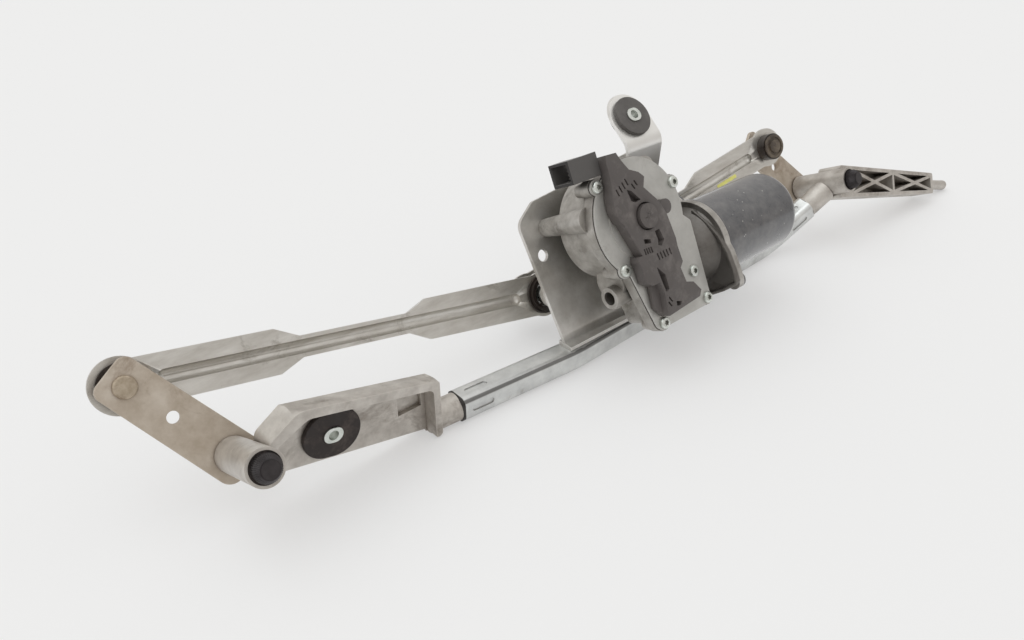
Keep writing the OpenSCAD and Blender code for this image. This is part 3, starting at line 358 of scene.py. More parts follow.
# The metals' grit and the mouldings' grain are drawn coarser than the real ones, so that they show
def worn_metal(name, base, pale, grime_and_shade, metallic, roughness, cloud_mm, grime_from, grit_mm, bump, wear_and_edge_light=0.0,
        stretch=(1, 1, 1), corner_mm=5):
    """Metal with pale and dull clouds, grime in patches, painted shade in corners and near other parts, rubbed
    edges that also paint highlights, and a fine grit.
    """
    material, tree, shader, place = new_material(name)
    stretched = add(tree, "ShaderNodeMapping", {"Vector": place, "Scale": stretch}).outputs["Vector"]
    clouds = add(tree, "ShaderNodeTexNoise", {"Vector": stretched, "Scale": 1 / (cloud_mm * MM),
        "Detail": 6.0, "Roughness": 0.65}).outputs["Fac"]
    patches = add(tree, "ShaderNodeTexNoise", {"Vector": place, "Scale": 0.3 / (cloud_mm * MM), "Detail": 8.0,
        "Roughness": 0.74, "Distortion": 0.5}).outputs["Fac"]
    grit = add(tree, "ShaderNodeTexNoise", {"Vector": place, "Scale": 1 / (grit_mm * MM),
        "Detail": 3.0}).outputs["Fac"]
    body = add(tree, "ShaderNodeValToRGB", {"Fac": clouds}, [(0.34, linear(base)), (0.68, linear(pale))])
    # Painted shade: occlusion darkens corners and faces near other parts towards the grime colour
    corners = add(tree, "ShaderNodeAmbientOcclusion", {"Distance": corner_mm * MM}, samples=6).outputs["AO"]
    corner_shade = add(tree, "ShaderNodeValToRGB", {"Fac": corners}, [(0.2, grey(0.8)), (0.75, grey(0.0))])
    patch_dirt = add(tree, "ShaderNodeValToRGB", {"Fac": patches},
        [(grime_from, grey(0.0)), (grime_from + 0.16, grey(0.75))])
    grime_and_shade_mask = add(tree, "ShaderNodeMath", {0: corner_shade.outputs["Color"], 1: patch_dirt.outputs["Color"]},
        operation="MAXIMUM").outputs[0]
    colour = add(tree, "ShaderNodeMix", {"Factor": grime_and_shade_mask, "A": body.outputs["Color"], "B": linear(grime_and_shade)},
        data_type="RGBA").outputs["Result"]
    # Pale convex edges: rubbed wear that also serves as painted edge highlights
    if wear_and_edge_light:
        edges = add(tree, "ShaderNodeAmbientOcclusion", {"Distance": EDGE_WEAR_AND_LIGHT}, samples=6,
            inside=True).outputs["AO"]
        rubbed_and_lit = add(tree, "ShaderNodeValToRGB", {"Fac": edges}, [(0.35, grey(wear_and_edge_light)), (0.75, grey(0.0))])
        colour = add(tree, "ShaderNodeMix", {"Factor": rubbed_and_lit.outputs["Color"], "A": colour,
            "B": linear(pale)}, data_type="RGBA").outputs["Result"]
    tree.links.new(colour, shader.inputs["Base Color"])
    rough = add(tree, "ShaderNodeMapRange", {"Value": patches, "From Min": 0.3, "From Max": 0.75,
        "To Min": roughness, "To Max": roughness + 0.2}).outputs["Result"]
    tree.links.new(rough, shader.inputs["Roughness"])
    relief = add(tree, "ShaderNodeBump", {"Height": grit, "Strength": bump, "Distance": 0.2 * MM})
    tree.links.new(relief.outputs["Normal"], shader.inputs["Normal"])
    shader.inputs["Metallic"].default_value = metallic
    return material


def moulding(name, base, dust, roughness, grain_mm, bump, dust_from, coat=0.0, chips=None, settled_dust_and_light=0.0):
    """Plastic, rubber or paint: dust in patches, dust and painted light on upper faces, a grain and small chips.
    """
    _, tree, shader, place = new_material(name)
    film = add(tree, "ShaderNodeTexNoise", {"Vector": place, "Scale": 1 / FILM, "Detail": 8.0,
        "Roughness": 0.72}).outputs["Fac"]
    grain = add(tree, "ShaderNodeTexNoise", {"Vector": place, "Scale": 1 / (grain_mm * MM),
        "Detail": 2.0}).outputs["Fac"]
    colour = add(tree, "ShaderNodeValToRGB", {"Fac": film},
        [(dust_from, linear(base)), (dust_from + 0.3, linear(dust))]).outputs["Color"]
    if chips:
        flecks = add(tree, "ShaderNodeTexVoronoi", {"Vector": place, "Scale": 1 / CHIP}).outputs["Distance"]
        chipped = add(tree, "ShaderNodeValToRGB", {"Fac": flecks}, [(0.05, grey(0.8)), (0.09, grey(0.0))])
        colour = add(tree, "ShaderNodeMix", {"Factor": chipped.outputs["Color"], "A": colour,
            "B": linear(chips)}, data_type="RGBA").outputs["Result"]
    # Dust and painted light: faces turned upwards are paler
    if settled_dust_and_light:
        facing = add(tree, "ShaderNodeNewGeometry").outputs["Normal"]
        upward = add(tree, "ShaderNodeSeparateXYZ", {"Vector": facing}).outputs["Z"]
        lying = add(tree, "ShaderNodeValToRGB", {"Fac": upward}, [(0.3, grey(0.0)), (0.65, grey(settled_dust_and_light))])
        colour = add(tree, "ShaderNodeMix", {"Factor": lying.outputs["Color"], "A": colour,
            "B": linear(DUST_AND_TOP_LIGHT)}, data_type="RGBA").outputs["Result"]
    tree.links.new(colour, shader.inputs["Base Color"])
    rough = add(tree, "ShaderNodeMapRange", {"Value": film, "From Min": 0.3, "From Max": 0.7,
        "To Min": roughness, "To Max": min(1.0, roughness + 0.2)}).outputs["Result"]
    tree.links.new(rough, shader.inputs["Roughness"])
    relief = add(tree, "ShaderNodeBump", {"Height": grain, "Strength": bump, "Distance": 0.15 * MM})
    tree.links.new(relief.outputs["Normal"], shader.inputs["Normal"])
    shader.inputs["Coat Weight"].default_value = coat
    shader.inputs["Coat Roughness"].default_value = 0.12


def base_colour(material):
    """A finish's node tree, its shader and the socket that colours it."""
    tree = material.node_tree
    shader = next(n for n in tree.nodes if n.type == "BSDF_PRINCIPLED")
    return tree, shader, shader.inputs["Base Color"].links[0].from_socket


def darken_tube(material):
    """Adds a painted dark reflection along the tube's upper front corner and the dark gap at its near end."""
    tree, shader, colour = base_colour(material)
    facing = add(tree, "ShaderNodeNewGeometry").outputs["Normal"]
    # Painted dark reflection on the faces turned up and to the front
    reflection_facing = add(tree, "ShaderNodeVectorMath", {0: facing, 1: TUBE_REFLECTION_FACING},
        operation="DOT_PRODUCT").outputs["Value"]
    painted_reflection = add(tree, "ShaderNodeValToRGB", {"Fac": reflection_facing}, [(0.93, grey(0.0)), (0.975, grey(0.75))])
    place = add(tree, "ShaderNodeTexCoord").outputs["Object"]
    along = add(tree, "ShaderNodeSeparateXYZ", {"Vector": place}).outputs["X"]
    gap_mask = add(tree, "ShaderNodeMapRange", {"Value": along, "From Min": TUBE_START + TUBE_GAP[0],
        "From Max": TUBE_START + TUBE_GAP[1], "To Min": 1.0, "To Max": 0.0}).outputs["Result"]
    marks = add(tree, "ShaderNodeMath", {0: painted_reflection.outputs["Color"], 1: gap_mask},
        operation="MAXIMUM").outputs[0]
    marked = add(tree, "ShaderNodeMix", {"Factor": marks, "A": colour, "B": linear("#3F3D3B")},
        data_type="RGBA")
    tree.links.new(marked.outputs["Result"], shader.inputs["Base Color"])


def tint_along(material, axis, origin, stops, tint):
    """Changes a finish along one axis, by stops of millimetres from an origin and an amount."""
    tree, shader, colour = base_colour(material)
    start = stops[0][0]
    span = stops[-1][0] - start
    place = add(tree, "ShaderNodeTexCoord").outputs["Object"]
    along = add(tree, "ShaderNodeSeparateXYZ", {"Vector": place}).outputs[axis]
    share = add(tree, "ShaderNodeMapRange", {"Value": along, "From Min": origin + start * MM,
        "From Max": origin + (start + span) * MM})
    amount = add(tree, "ShaderNodeValToRGB", {"Fac": share.outputs["Result"]},
        [((at - start) / span, grey(level)) for at, level in stops])
    tinted = add(tree, "ShaderNodeMix", {"Factor": amount.outputs["Color"], "A": colour, "B": linear(tint)},
        data_type="RGBA")
    tree.links.new(tinted.outputs["Result"], shader.inputs["Base Color"])


class LINKAGE_OT_finishes(bpy.types.Operator):
    """Makes the finishes and gives each CAD node its own"""

    bl_idname = "linkage.finishes"
    bl_label = "Finishes"

    def execute(self, context):
        c = colours()
        # Roll-formed tube, hot galvanised: pale silver with soft clouds and a few dull stains
        tube = worn_metal("galvanised_tube", c.tube, "#E2E3E1", "#8B8781", metallic=0.8, roughness=0.27,
            cloud_mm=18, grime_from=0.6, grit_mm=0.5, bump=0.1)
        darken_tube(tube)
        # Die cast alloy: matt warm grey, a pebbled skin, brown stains, and rubbed edges that also paint highlights
        worn_metal("die_cast_aluminium", c.cast, "#D0CBC4", "#766B60", metallic=0.6, roughness=0.36,
            cloud_mm=13, grime_from=0.53, grit_mm=0.6, bump=0.35, wear_and_edge_light=0.7)
        # The same alloy under years of dust: darker and blotchy, pale where rubbed and on highlit edges, with
        #         # painted shade in its hollows, darkest on the neck
        gearbox = worn_metal("grimy_cast_aluminium", c.gearbox, "#C2BFBA", "#57514A", metallic=0.65,
            roughness=0.34, cloud_mm=12, grime_from=0.54, grit_mm=0.6, bump=0.35, wear_and_edge_light=0.8, corner_mm=12)
        # Painted shade on the gear housing's neck
        tint_along(gearbox, "X", MOTOR.translation.x, NECK_SHADE, "#4A4541")
        # Zinc plated sheet: pale, nearly flat, with faint spots
        worn_metal("zinc_sheet", c.cover, "#C9C8C4", "#8C877F", metallic=0.6, roughness=0.32, cloud_mm=22,
            grime_from=0.58, grit_mm=0.4, bump=0.08, wear_and_edge_light=0.5)
        # Zinc plated turned steel: bright and clean
        worn_metal("bright_zinc", "#C9CFC8", "#E6E8E4", "#7D7A74", metallic=0.9, roughness=0.2, cloud_mm=4,
            grime_from=0.68, grit_mm=0.3, bump=0.06)
        # Peened rivet ends: tan with brown stains of rust
        worn_metal("stained_rivet_steel", "#A2937F", "#BFB29F", "#6B5341", metallic=0.5, roughness=0.38,
            cloud_mm=5, grime_from=0.52, grit_mm=0.4, bump=0.15)
        # Pressed steel plate: mid grey with a sheen, painted shade near other parts, and a painted highlight on
        # the ear
        plate = worn_metal("pressed_bracket_steel", c.bracket, "#E6E4E0", "#625C55", metallic=0.75,
            roughness=0.25, cloud_mm=40, grime_from=0.56, grit_mm=0.5, bump=0.08, wear_and_edge_light=0.9, corner_mm=22)
        # Painted highlight: the bracket is paler above the ear's fold
        tint_along(plate, "Z", MOUNTS["top_mount_bore"]["pos_m"][2], EAR_LIGHT, "#F4F3F0")
        # Old yellow zinc: tan, dull, with brown spots of rust
        worn_metal("tan_zinc_steel", c.lever, "#CDC3B6", "#7E6650", metallic=0.45, roughness=0.4, cloud_mm=14,
            grime_from=0.54, grit_mm=0.5, bump=0.14, wear_and_edge_light=0.5)
        # Bright zinc on pressed strip: silvery with streaks along the rod
        worn_metal("pressed_rod_steel", c.rod, "#E2E0DB", "#7C7366", metallic=0.85, roughness=0.26,
            cloud_mm=9, grime_from=0.58, grit_mm=0.4, bump=0.06, wear_and_edge_light=0.5, stretch=(0.25, 1, 1))
        # Phosphated steel: nearly black with a soft sheen
        worn_metal("blackened_steel", "#262324", "#454142", "#1A1716", metallic=0.6, roughness=0.36,
            cloud_mm=5, grime_from=0.7, grit_mm=0.3, bump=0.1, wear_and_edge_light=0.5)
        # Stacked sheets: grey steel
        worn_metal("stacked_core_steel", "#6E6A64", "#88847E", "#4A443E", metallic=0.7, roughness=0.4,
            cloud_mm=5, grime_from=0.6, grit_mm=0.4, bump=0.2)
        # Bare copper: red-brown, with dark tarnish in patches
        worn_metal("bare_copper", "#A8643C", "#C88858", "#5E3A26", metallic=0.9, roughness=0.28, cloud_mm=4,
            grime_from=0.62, grit_mm=0.3, bump=0.08)
        # Tinned pins: dull grey
        worn_metal("dull_tin", "#4F4D4B", "#6A6865", "#3A3836", metallic=0.7, roughness=0.4, cloud_mm=4,
            grime_from=0.6, grit_mm=0.3, bump=0.05)
        # Oil-filled bronze: dull yellow-brown
        worn_metal("sintered_bronze", "#8C7A4E", "#A39262", "#5E5236", metallic=0.8, roughness=0.4,
            cloud_mm=4, grime_from=0.62, grit_mm=0.3, bump=0.12)
        # Gloss enamel on a drawn can: smooth dark grey, dusty, with small chips
        moulding("can_enamel", c.can, "#6C6A69", roughness=0.22, grain_mm=0.9, bump=0.04, dust_from=0.46,
            coat=0.9, chips="#B5B3AE")
        # Natural rubber: dark brown-black and matt with a bloom of dust
        moulding("dusty_rubber", c.rubber, "#5C524E", roughness=0.6, grain_mm=0.7, bump=0.2, dust_from=0.5)
        # The same rubber bleached by the sun: grey and chalky
        moulding("sunned_rubber", "#5A5755", "#716E6B", roughness=0.65, grain_mm=0.7, bump=0.2,
            dust_from=0.45)
        # Glass-filled nylon: dark warm grey, faintly grained
        moulding("filled_nylon", c.plastic, "#7C7673", roughness=0.4, grain_mm=0.6, bump=0.2, dust_from=0.5)
        # Plain nylon of the plug: black and a little shiny, with dust and painted light on its upper faces
        moulding("plug_nylon", "#1F1B1A", "#3C3735", roughness=0.32, grain_mm=0.6, bump=0.15, dust_from=0.52,
            settled_dust_and_light=0.7)
        # Nylon sockets in old grease: brown-black and wet
        moulding("greased_nylon", "#2A221E", "#55483C", roughness=0.3, grain_mm=0.8, bump=0.2, dust_from=0.5,
            coat=0.3)
        # Nylon that stood in the open: brown-grey with a chalky film
        moulding("aged_nylon", "#463D35", "#8A7D6B", roughness=0.45, grain_mm=0.8, bump=0.2, dust_from=0.42)
        # Marking paint: pale yellow, thin and matt
        moulding("marking_paint", "#F2F08C", "#D9D27A", roughness=0.5, grain_mm=0.5, bump=0.1, dust_from=0.5)
        # Acetal gear: cream and waxy
        moulding("acetal", "#D8D2C0", "#C4BBA2", roughness=0.4, grain_mm=0.8, bump=0.08, dust_from=0.5)
        # Pressed board: brown and fibrous
        moulding("pressed_board", "#5A4A32", "#6E5C40", roughness=0.7, grain_mm=0.5, bump=0.3, dust_from=0.45)
        # Carbon: black and dusty
        moulding("carbon_block", "#2A2A2A", "#3A3A3A", roughness=0.6, grain_mm=0.4, bump=0.2, dust_from=0.5)
        # Sintered ferrite: dark grey and stony
        moulding("sintered_ferrite", "#3A3A3C", "#4A4A4C", roughness=0.55, grain_mm=0.5, bump=0.25,
            dust_from=0.5)
        for name, finish in FINISH_OF.items():
            NODES[name].data.materials.clear()
            NODES[name].data.materials.append(bpy.data.materials[finish])
        return {"FINISHED"}


def deselect():
    bpy.ops.object.select_all(action="DESELECT")


def activate(piece):
    deselect()
    piece.select_set(True)
    bpy.context.view_layer.objects.active = piece


def keep(piece, name, material, body, replaced=()):
    """Names a finished piece, gives it its finish and sets it on its body."""
    piece.name = name
    piece.data.materials.clear()
    piece.data.materials.append(bpy.data.materials[material])
    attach(piece, body)
    if replaced:
        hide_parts(*replaced)


def settle(piece, place):
    """Puts a piece that was modelled at the origin in its place and applies it to the mesh."""
    piece.matrix_world = place
    activate(piece)
    bpy.ops.object.transform_apply(location=True, rotation=True, scale=True)
    return piece


def close_outwards():
    """Turns all the faces of the piece being edited outwards and ends the edit."""
    bpy.ops.mesh.select_all(action="SELECT")
    bpy.ops.mesh.normals_make_consistent(inside=False)
    bpy.ops.object.mode_set(mode="OBJECT")


def raise_face(rise):
    """Extrudes the selected faces along z."""
    bpy.ops.mesh.extrude_region_move(TRANSFORM_OT_translate={"value": (0, 0, rise)})


def prism(points, low, high):
    """A solid between two heights over an outline, in millimetres."""
    deselect()
    bpy.ops.mesh.primitive_circle_add(vertices=len(points), radius=1, fill_type="NGON")
    piece = bpy.context.object
    bpy.ops.object.mode_set(mode="EDIT")
    mesh = bmesh.from_edit_mesh(piece.data)
    for v, (x, y) in zip(mesh.verts, points):
        v.co = Vector((x, y, low)) * MM
    bmesh.update_edit_mesh(piece.data)
    bpy.ops.mesh.select_all(action="SELECT")
    raise_face((high - low) * MM)
    close_outwards()
    return piece


def cylinder(radius, height):
    """A cylinder about the z axis that stands on z = 0."""
    deselect()
    bpy.ops.mesh.primitive_cylinder_add(vertices=ROUND_STEPS, radius=radius, depth=height,
        location=(0, 0, height / 2))
    bpy.ops.object.transform_apply(location=True)
    return bpy.context.object


def pick_end(piece, way=1):
    """Opens a piece for editing with only its end face selected, the upper one or, with way -1, the lower."""
    bpy.ops.object.mode_set(mode="EDIT")
    bpy.ops.mesh.select_mode(type="FACE")
    bpy.ops.mesh.select_all(action="DESELECT")
    mesh = bmesh.from_edit_mesh(piece.data)
    end = max(mesh.faces, key=lambda f: (way * f.calc_center_median().z, f.calc_area()))
    end.select = True


def round_top(piece, height, width, steps):
    """Rounds the rim round the top of a cylinder and leaves it open for editing."""
    bpy.ops.object.mode_set(mode="EDIT")
    bpy.ops.mesh.select_mode(type="EDGE")
    mesh = bmesh.from_edit_mesh(piece.data)
    for e in mesh.edges:
        e.select = all(v.co.z > height / 2 for v in e.verts)
    bpy.ops.mesh.bevel(offset=width, segments=steps)


def round_edges(piece, width):
    """Rounds the sharp edges of a piece."""
    activate(piece)
    bevel = piece.modifiers.new("edges", "BEVEL")
    bevel.width = width
    bevel.segments = EDGE_STEPS
    bevel.limit_method = "ANGLE"
    bevel.angle_limit = SHARP
    bpy.ops.object.modifier_apply(modifier=bevel.name)


def combine(piece, tool, how):
    """Cuts a tool out of a piece or joins it on, and drops the tool."""
    activate(piece)
    step = piece.modifiers.new("step", "BOOLEAN")
    step.operation = how
    step.solver = "EXACT"
    step.object = tool
    bpy.ops.object.modifier_apply(modifier=step.name)
    bpy.data.objects.remove(tool)


def disc(centre, radius, steps=40):
    """Outline of a round, in millimetres."""
    turns = [2 * math.pi * i / steps for i in range(steps)]
    return [(centre[0] + radius * math.cos(q), centre[1] + radius * math.sin(q)) for q in turns]


def slit(start, turn, length, width):
    """Outline of a vent that runs from its start in a direction, in millimetres."""
    along = Vector((math.cos(turn), math.sin(turn)))
    side = Vector((-along.y, along.x)) * width / 2
    end = Vector(start) + along * length
    return [tuple(q) for q in (Vector(start) - side, end - side, end + side, Vector(start) + side)]


def rounded(points, radii, steps=6):
    """Outline whose corners are rounded by arcs, in millimetres."""
    outline = []
    for i, radius in enumerate(radii):
        corner = Vector(points[i])
        before = (Vector(points[i - 1]) - corner).normalized()
        after = (Vector(points[(i + 1) % len(points)]) - corner).normalized()
        half = before.angle(after) / 2
        centre = corner + (before + after).normalized() * radius / math.sin(half)
        start = corner + before * radius / math.tan(half) - centre
        end = corner + after * radius / math.tan(half) - centre
        for k in range(steps + 1):
            outline.append(tuple(centre + start.lerp(end, k / steps).normalized() * radius))
    return outline


def merged_copy(name):
    """A copy of a CAD node with its loose triangles merged."""
    piece = NODES[name].copy()
    piece.data = NODES[name].data.copy()
    for key in list(piece.keys()):
        del piece[key]
    piece.parent = None
    bpy.context.scene.collection.objects.link(piece)
    activate(piece)
    bpy.ops.object.mode_set(mode="EDIT")
    bpy.ops.mesh.select_all(action="SELECT")
    bpy.ops.mesh.remove_doubles(threshold=MERGED)
    bpy.ops.object.mode_set(mode="OBJECT")
    return piece


def roll_folds(piece):
    """Rolls the long folds of a pressed plate."""
    bpy.ops.object.mode_set(mode="EDIT")
    bpy.ops.mesh.select_mode(type="EDGE")
    bpy.ops.mesh.select_all(action="DESELECT")
    mesh = bmesh.from_edit_mesh(piece.data)
    for e in mesh.edges:
        if len(e.link_faces) == 2 and e.calc_length() > FOLD_SPAN:
            e.select = FOLD_LEAST < math.degrees(e.calc_face_angle()) < FOLD_MOST
    bpy.ops.mesh.bevel(offset=FOLD_ROLL, segments=FOLD_STEPS)
    bpy.ops.object.mode_set(mode="OBJECT")


def rounded_copy(name, width=0, flats=True, cutter=None, folds=False):
    """Replaces a CAD node by a copy, cut where asked, with whole flats, rolled folds and rounded edges."""
    piece = merged_copy(name)
    if cutter:
        combine(piece, cutter, "DIFFERENCE")
    if flats:
        bpy.ops.object.mode_set(mode="EDIT")
        bpy.ops.mesh.select_all(action="SELECT")
        bpy.ops.mesh.dissolve_limited(angle_limit=FLAT, delimit=set())
        bpy.ops.object.mode_set(mode="OBJECT")
    if folds:
        roll_folds(piece)
    if width:
        round_edges(piece, width)
    bpy.ops.object.shade_smooth_by_angle(angle=SMOOTH)
    if flats:
        level = piece.modifiers.new("level_faces", "WEIGHTED_NORMAL")
        level.keep_sharp = True
        bpy.ops.object.modifier_apply(modifier=level.name)
    keep(piece, name + "_rounded", FINISH_OF[name], BODY_OF[name], [name])


class LINKAGE_OT_rounded_edges(bpy.types.Operator):
    """Rounds the edges of the castings, mouldings and pressings"""

    bl_idname = "linkage.rounded_edges"
    bl_label = "Rounded edges"

    def execute(self, context):
        pocket = settle(prism(rounded(POCKET, POCKET_RADII), POCKET_FLOOR, POCKET_OUT), NEAR_ARM)
        rounded_copy("near_pivot_housing", sizes().edge, cutter=pocket)
        for name, share in CAST_EDGES.items():
            rounded_copy(name, sizes().edge * share)
        for name, share in SHEET_EDGES.items():
            rounded_copy(name, sizes().sheet_edge * share)
        rounded_copy("motor_bracket", sizes().sheet_edge * BRACKET_EDGE, folds=True)
        rounded_copy("frame_tube")
        for name in ("near_link_rod", "far_link_rod"):
            rounded_copy(name, flats=False)
        return {"FINISHED"}


class LINKAGE_OT_spindle_knurls(bpy.types.Operator):
    """Makes the knurled land and cone on both spindle ends"""

    bl_idname = "linkage.spindle_knurls"
    bl_label = "Spindle knurls"

    def execute(self, context):
        teeth = sizes().knurl_teeth
        depth = sizes().knurl_depth
        for side in ("near", "far"):
            mount = MOUNTS[side + "_spindle_end"]
            radius = mount["dims"]["r_mm"] * MM
            length = mount["dims"]["length_mm"] * MM
            deselect()
            bpy.ops.mesh.primitive_cylinder_add(vertices=2 * teeth, radius=radius + depth, depth=length)
            piece = bpy.context.object
            pick_end(piece)
            raise_face(CONE_RISE)
            bpy.ops.transform.resize(value=(CONE_SHARE, CONE_SHARE, 1))
            bpy.ops.mesh.select_mode(type="VERT")
            mesh = bmesh.from_edit_mesh(piece.data)
            step = math.pi / teeth
            for v in mesh.verts:
                v.select = round(math.atan2(v.co.y, v.co.x) / step) % 2 == 1
            mesh.select_flush_mode()
            root = radius / (radius + depth)
            bpy.ops.transform.resize(value=(root, root, 1))
            pick_end(piece)
            bpy.ops.mesh.inset(thickness=TIP_RIM)
            raise_face(TIP_RISE)
            bpy.ops.mesh.inset(thickness=TIP_CENTRE)
            bpy.ops.object.mode_set(mode="OBJECT")
            middle = Vector(mount["pos_m"])
            if side == "near":
                middle -= SPINDLE_AXIS * length / 2
            settle(piece, Matrix.Translation(middle) @ LINKAGE_TURN)
            keep(piece, side + "_spindle_knurl", "blackened_steel", side + "_lever_arm")
        return {"FINISHED"}


class LINKAGE_OT_rivet_heads(bpy.types.Operator):
    """Domes the peened heads of the lever ball studs"""

    bl_idname = "linkage.rivet_heads"
    bl_label = "Rivet heads"

    def execute(self, context):
        for side, out, turn in (("near", SPINDLE_AXIS, 0), ("far", -SPINDLE_AXIS, math.pi)):
            piece = cylinder(RIVET_R, RIVET_RISE)
            round_top(piece, RIVET_RISE, RIVET_DOME, RIVET_STEPS)
            bpy.ops.object.mode_set(mode="OBJECT")
            bpy.ops.object.shade_smooth_by_angle(angle=SMOOTH_TURNED)
            seat = Vector(JOINTS[side + "_rod_pivot"]["pos_m"]) + out * BALL_TO_RIVET
            settle(piece, Matrix.Translation(seat) @ LINKAGE_TURN @ Matrix.Rotation(turn, 4, "X"))
            keep(piece, side + "_rivet_head", "stained_rivet_steel", side + "_lever_arm")
        return {"FINISHED"}


def rod_frame(side):
    """Frame at a rod's lever ball, with x along the rod and z out of its front face."""
    ball = Vector(JOINTS[side + "_rod_pivot"]["pos_m"])
    throw = Matrix.Rotation(CRANK_TURN, 4, "Z") @ Vector((CRANK_R, 0, 0))
    pin = OUTPUT @ (throw + Vector((0, 0, CRANK_BALL[side])))
    along = (pin - ball).normalized()
    up = (SPINDLE_AXIS - along * along.dot(SPINDLE_AXIS)).normalized()
    across = up.cross(along)
    return Matrix.Translation(ball) @ Matrix((along, across, up)).transposed().to_4x4()


class LINKAGE_OT_socket_caps(bpy.types.Operator):
    """Makes the stepped caps on the closed ends of the lever sockets"""

    bl_idname = "linkage.socket_caps"
    bl_label = "Socket caps"

    def execute(self, context):
        for side, turn, finish in (("near", math.pi, "greased_nylon"), ("far", 0, "aged_nylon")):
            piece = cylinder(CAP_R, CAP_RISE)
            pick_end(piece)
            bpy.ops.mesh.inset(thickness=CAP_RIM)
            raise_face(-CAP_STEP)
            bpy.ops.mesh.inset(thickness=CAP_RIM)
            raise_face(2 * CAP_STEP)
            bpy.ops.object.mode_set(mode="OBJECT")
            round_edges(piece, CAP_EDGE)
            bpy.ops.object.shade_smooth_by_angle(angle=SMOOTH_TURNED)
            lift = Matrix.Translation((0, 0, SOCKET_DEPTH))
            settle(piece, rod_frame(side) @ Matrix.Rotation(turn, 4, "X") @ lift)
            keep(piece, side + "_socket_cap", finish, side + "_rod")
        return {"FINISHED"}


class LINKAGE_OT_flange_web(bpy.types.Operator):
    """Fills the gear housing's flange out to its lower corner, with a raised rim"""

    bl_idname = "linkage.flange_web"
    bl_label = "Flange web"

    def execute(self, context):
        piece = prism(WEB_OUTLINE, WEB_FRONT, WEB_BACK)
        pick_end(piece, -1)
        bpy.ops.mesh.inset(thickness=WEB_RIM)
        raise_face(WEB_DEPTH)
        close_outwards()
        round_edges(piece, sizes().edge)
        bpy.ops.object.shade_smooth_by_angle(angle=SMOOTH)
        settle(piece, MOTOR @ WEB_TURN)
        keep(piece, "gear_flange_web", "grimy_cast_aluminium", "frame")
        return {"FINISHED"}


class LINKAGE_OT_control_cover(bpy.types.Operator):
    """Makes the moulded control cover with its wells, rows of vents and side tab"""

    bl_idname = "linkage.control_cover"
    bl_label = "Control cover"

    def execute(self, context):
        piece = prism(CONTROL_OUTLINE, 0, CONTROL_H)
        combine(piece, prism(disc(TAB_PLACE, TAB_R), 0, CONTROL_H - TAB_STEP), "UNION")
        holes = list(CONTROL_WELLS) + [disc(BUTTON_PLACE, BUTTON_R + BUTTON_GAP)]
        for first, step, count, length, turn in VENT_ROWS:
            for i in range(count):
                start = (first[0] + i * step[0], first[1] + i * step[1])
                holes.append(slit(start, math.radians(turn), length, VENT_W))
        for hole in holes:
            combine(piece, prism(hole, CONTROL_FLOOR, 2 * CONTROL_H), "DIFFERENCE")
        round_edges(piece, CONTROL_EDGE)
        bpy.ops.object.shade_smooth_by_angle(angle=SMOOTH)
        settle(piece, OUTPUT @ CONTROL_SEAT)
        keep(piece, "control_cover_moulding", "filled_nylon", "frame", ["control_cover"])
        return {"FINISHED"}


class LINKAGE_OT_control_button(bpy.types.Operator):
    """Makes the rough-faced button of the control cover"""

    bl_idname = "linkage.control_button"
    bl_label = "Control button"

    def execute(self, context):
        piece = prism(disc(BUTTON_PLACE, BUTTON_R), BUTTON_FOOT, BUTTON_TOP)
        pick_end(piece)
        for ring in range(BUTTON_RINGS):
            bpy.ops.mesh.inset(thickness=BUTTON_R / (BUTTON_RINGS + 1) * MM)
            bpy.ops.transform.vertex_random(offset=BUTTON_ROUGH, normal=1.0, uniform=0.0, seed=ring)
        bpy.ops.object.mode_set(mode="OBJECT")
        bpy.ops.object.shade_smooth_by_angle(angle=SMOOTH_BUTTON)
        settle(piece, OUTPUT @ CONTROL_SEAT)
        keep(piece, "control_button", "filled_nylon", "frame")
        return {"FINISHED"}


class LINKAGE_OT_paint_dab(bpy.types.Operator):
    """Lays the stroke of marking paint on the far rod"""

    bl_idname = "linkage.paint_dab"
    bl_label = "Paint dab"

    def execute(self, context):
        deselect()
        bpy.ops.mesh.primitive_grid_add(x_subdivisions=DAB_GRID[0], y_subdivisions=DAB_GRID[1], size=1)
        piece = context.object
        bpy.ops.object.mode_set(mode="EDIT")
        bpy.ops.transform.resize(value=(DAB_LENGTH, DAB_WIDTH, 1))
        bpy.ops.transform.vertex_random(offset=DAB_RAGGED, uniform=1.0, normal=0.0, seed=DAB_SEED)
        bpy.ops.transform.resize(value=(1, 1, 0))
        bpy.ops.mesh.select_all(action="SELECT")
        raise_face(DAB_THICK)
        close_outwards()
        settle(piece, rod_frame("far") @ Matrix.Translation(DAB_PLACE))
        keep(piece, "far_rod_paint_dab", "marking_paint", "far_rod")
        return {"FINISHED"}


def star_screw():
    """One pan head with a six-lobed recess, at the origin with its seat on z = 0."""
    head = sizes().screw_head
    height = HEAD_HEIGHT * head
    piece = cylinder(head, height)
    round_top(piece, height, HEAD_ROUND * head, HEAD_STEPS)
    pick_end(piece)
    bpy.ops.mesh.inset(thickness=HEAD_RIM * head)
    mesh = bmesh.from_edit_mesh(piece.data)
    star = next(f for f in mesh.faces if f.select)
    for v in star.verts:
        turn = math.atan2(v.co.y, v.co.x)
        reach = STAR_REACH * head * (1 - STAR_LOBE + STAR_LOBE * math.cos(STAR_LOBES * turn))
        v.co.x, v.co.y = reach * math.cos(turn), reach * math.sin(turn)
    bmesh.update_edit_mesh(piece.data)
    raise_face(-STAR_DEPTH * head)
    bpy.ops.object.mode_set(mode="OBJECT")
    bpy.ops.object.shade_smooth_by_angle(angle=SMOOTH_SCREW)
    return piece


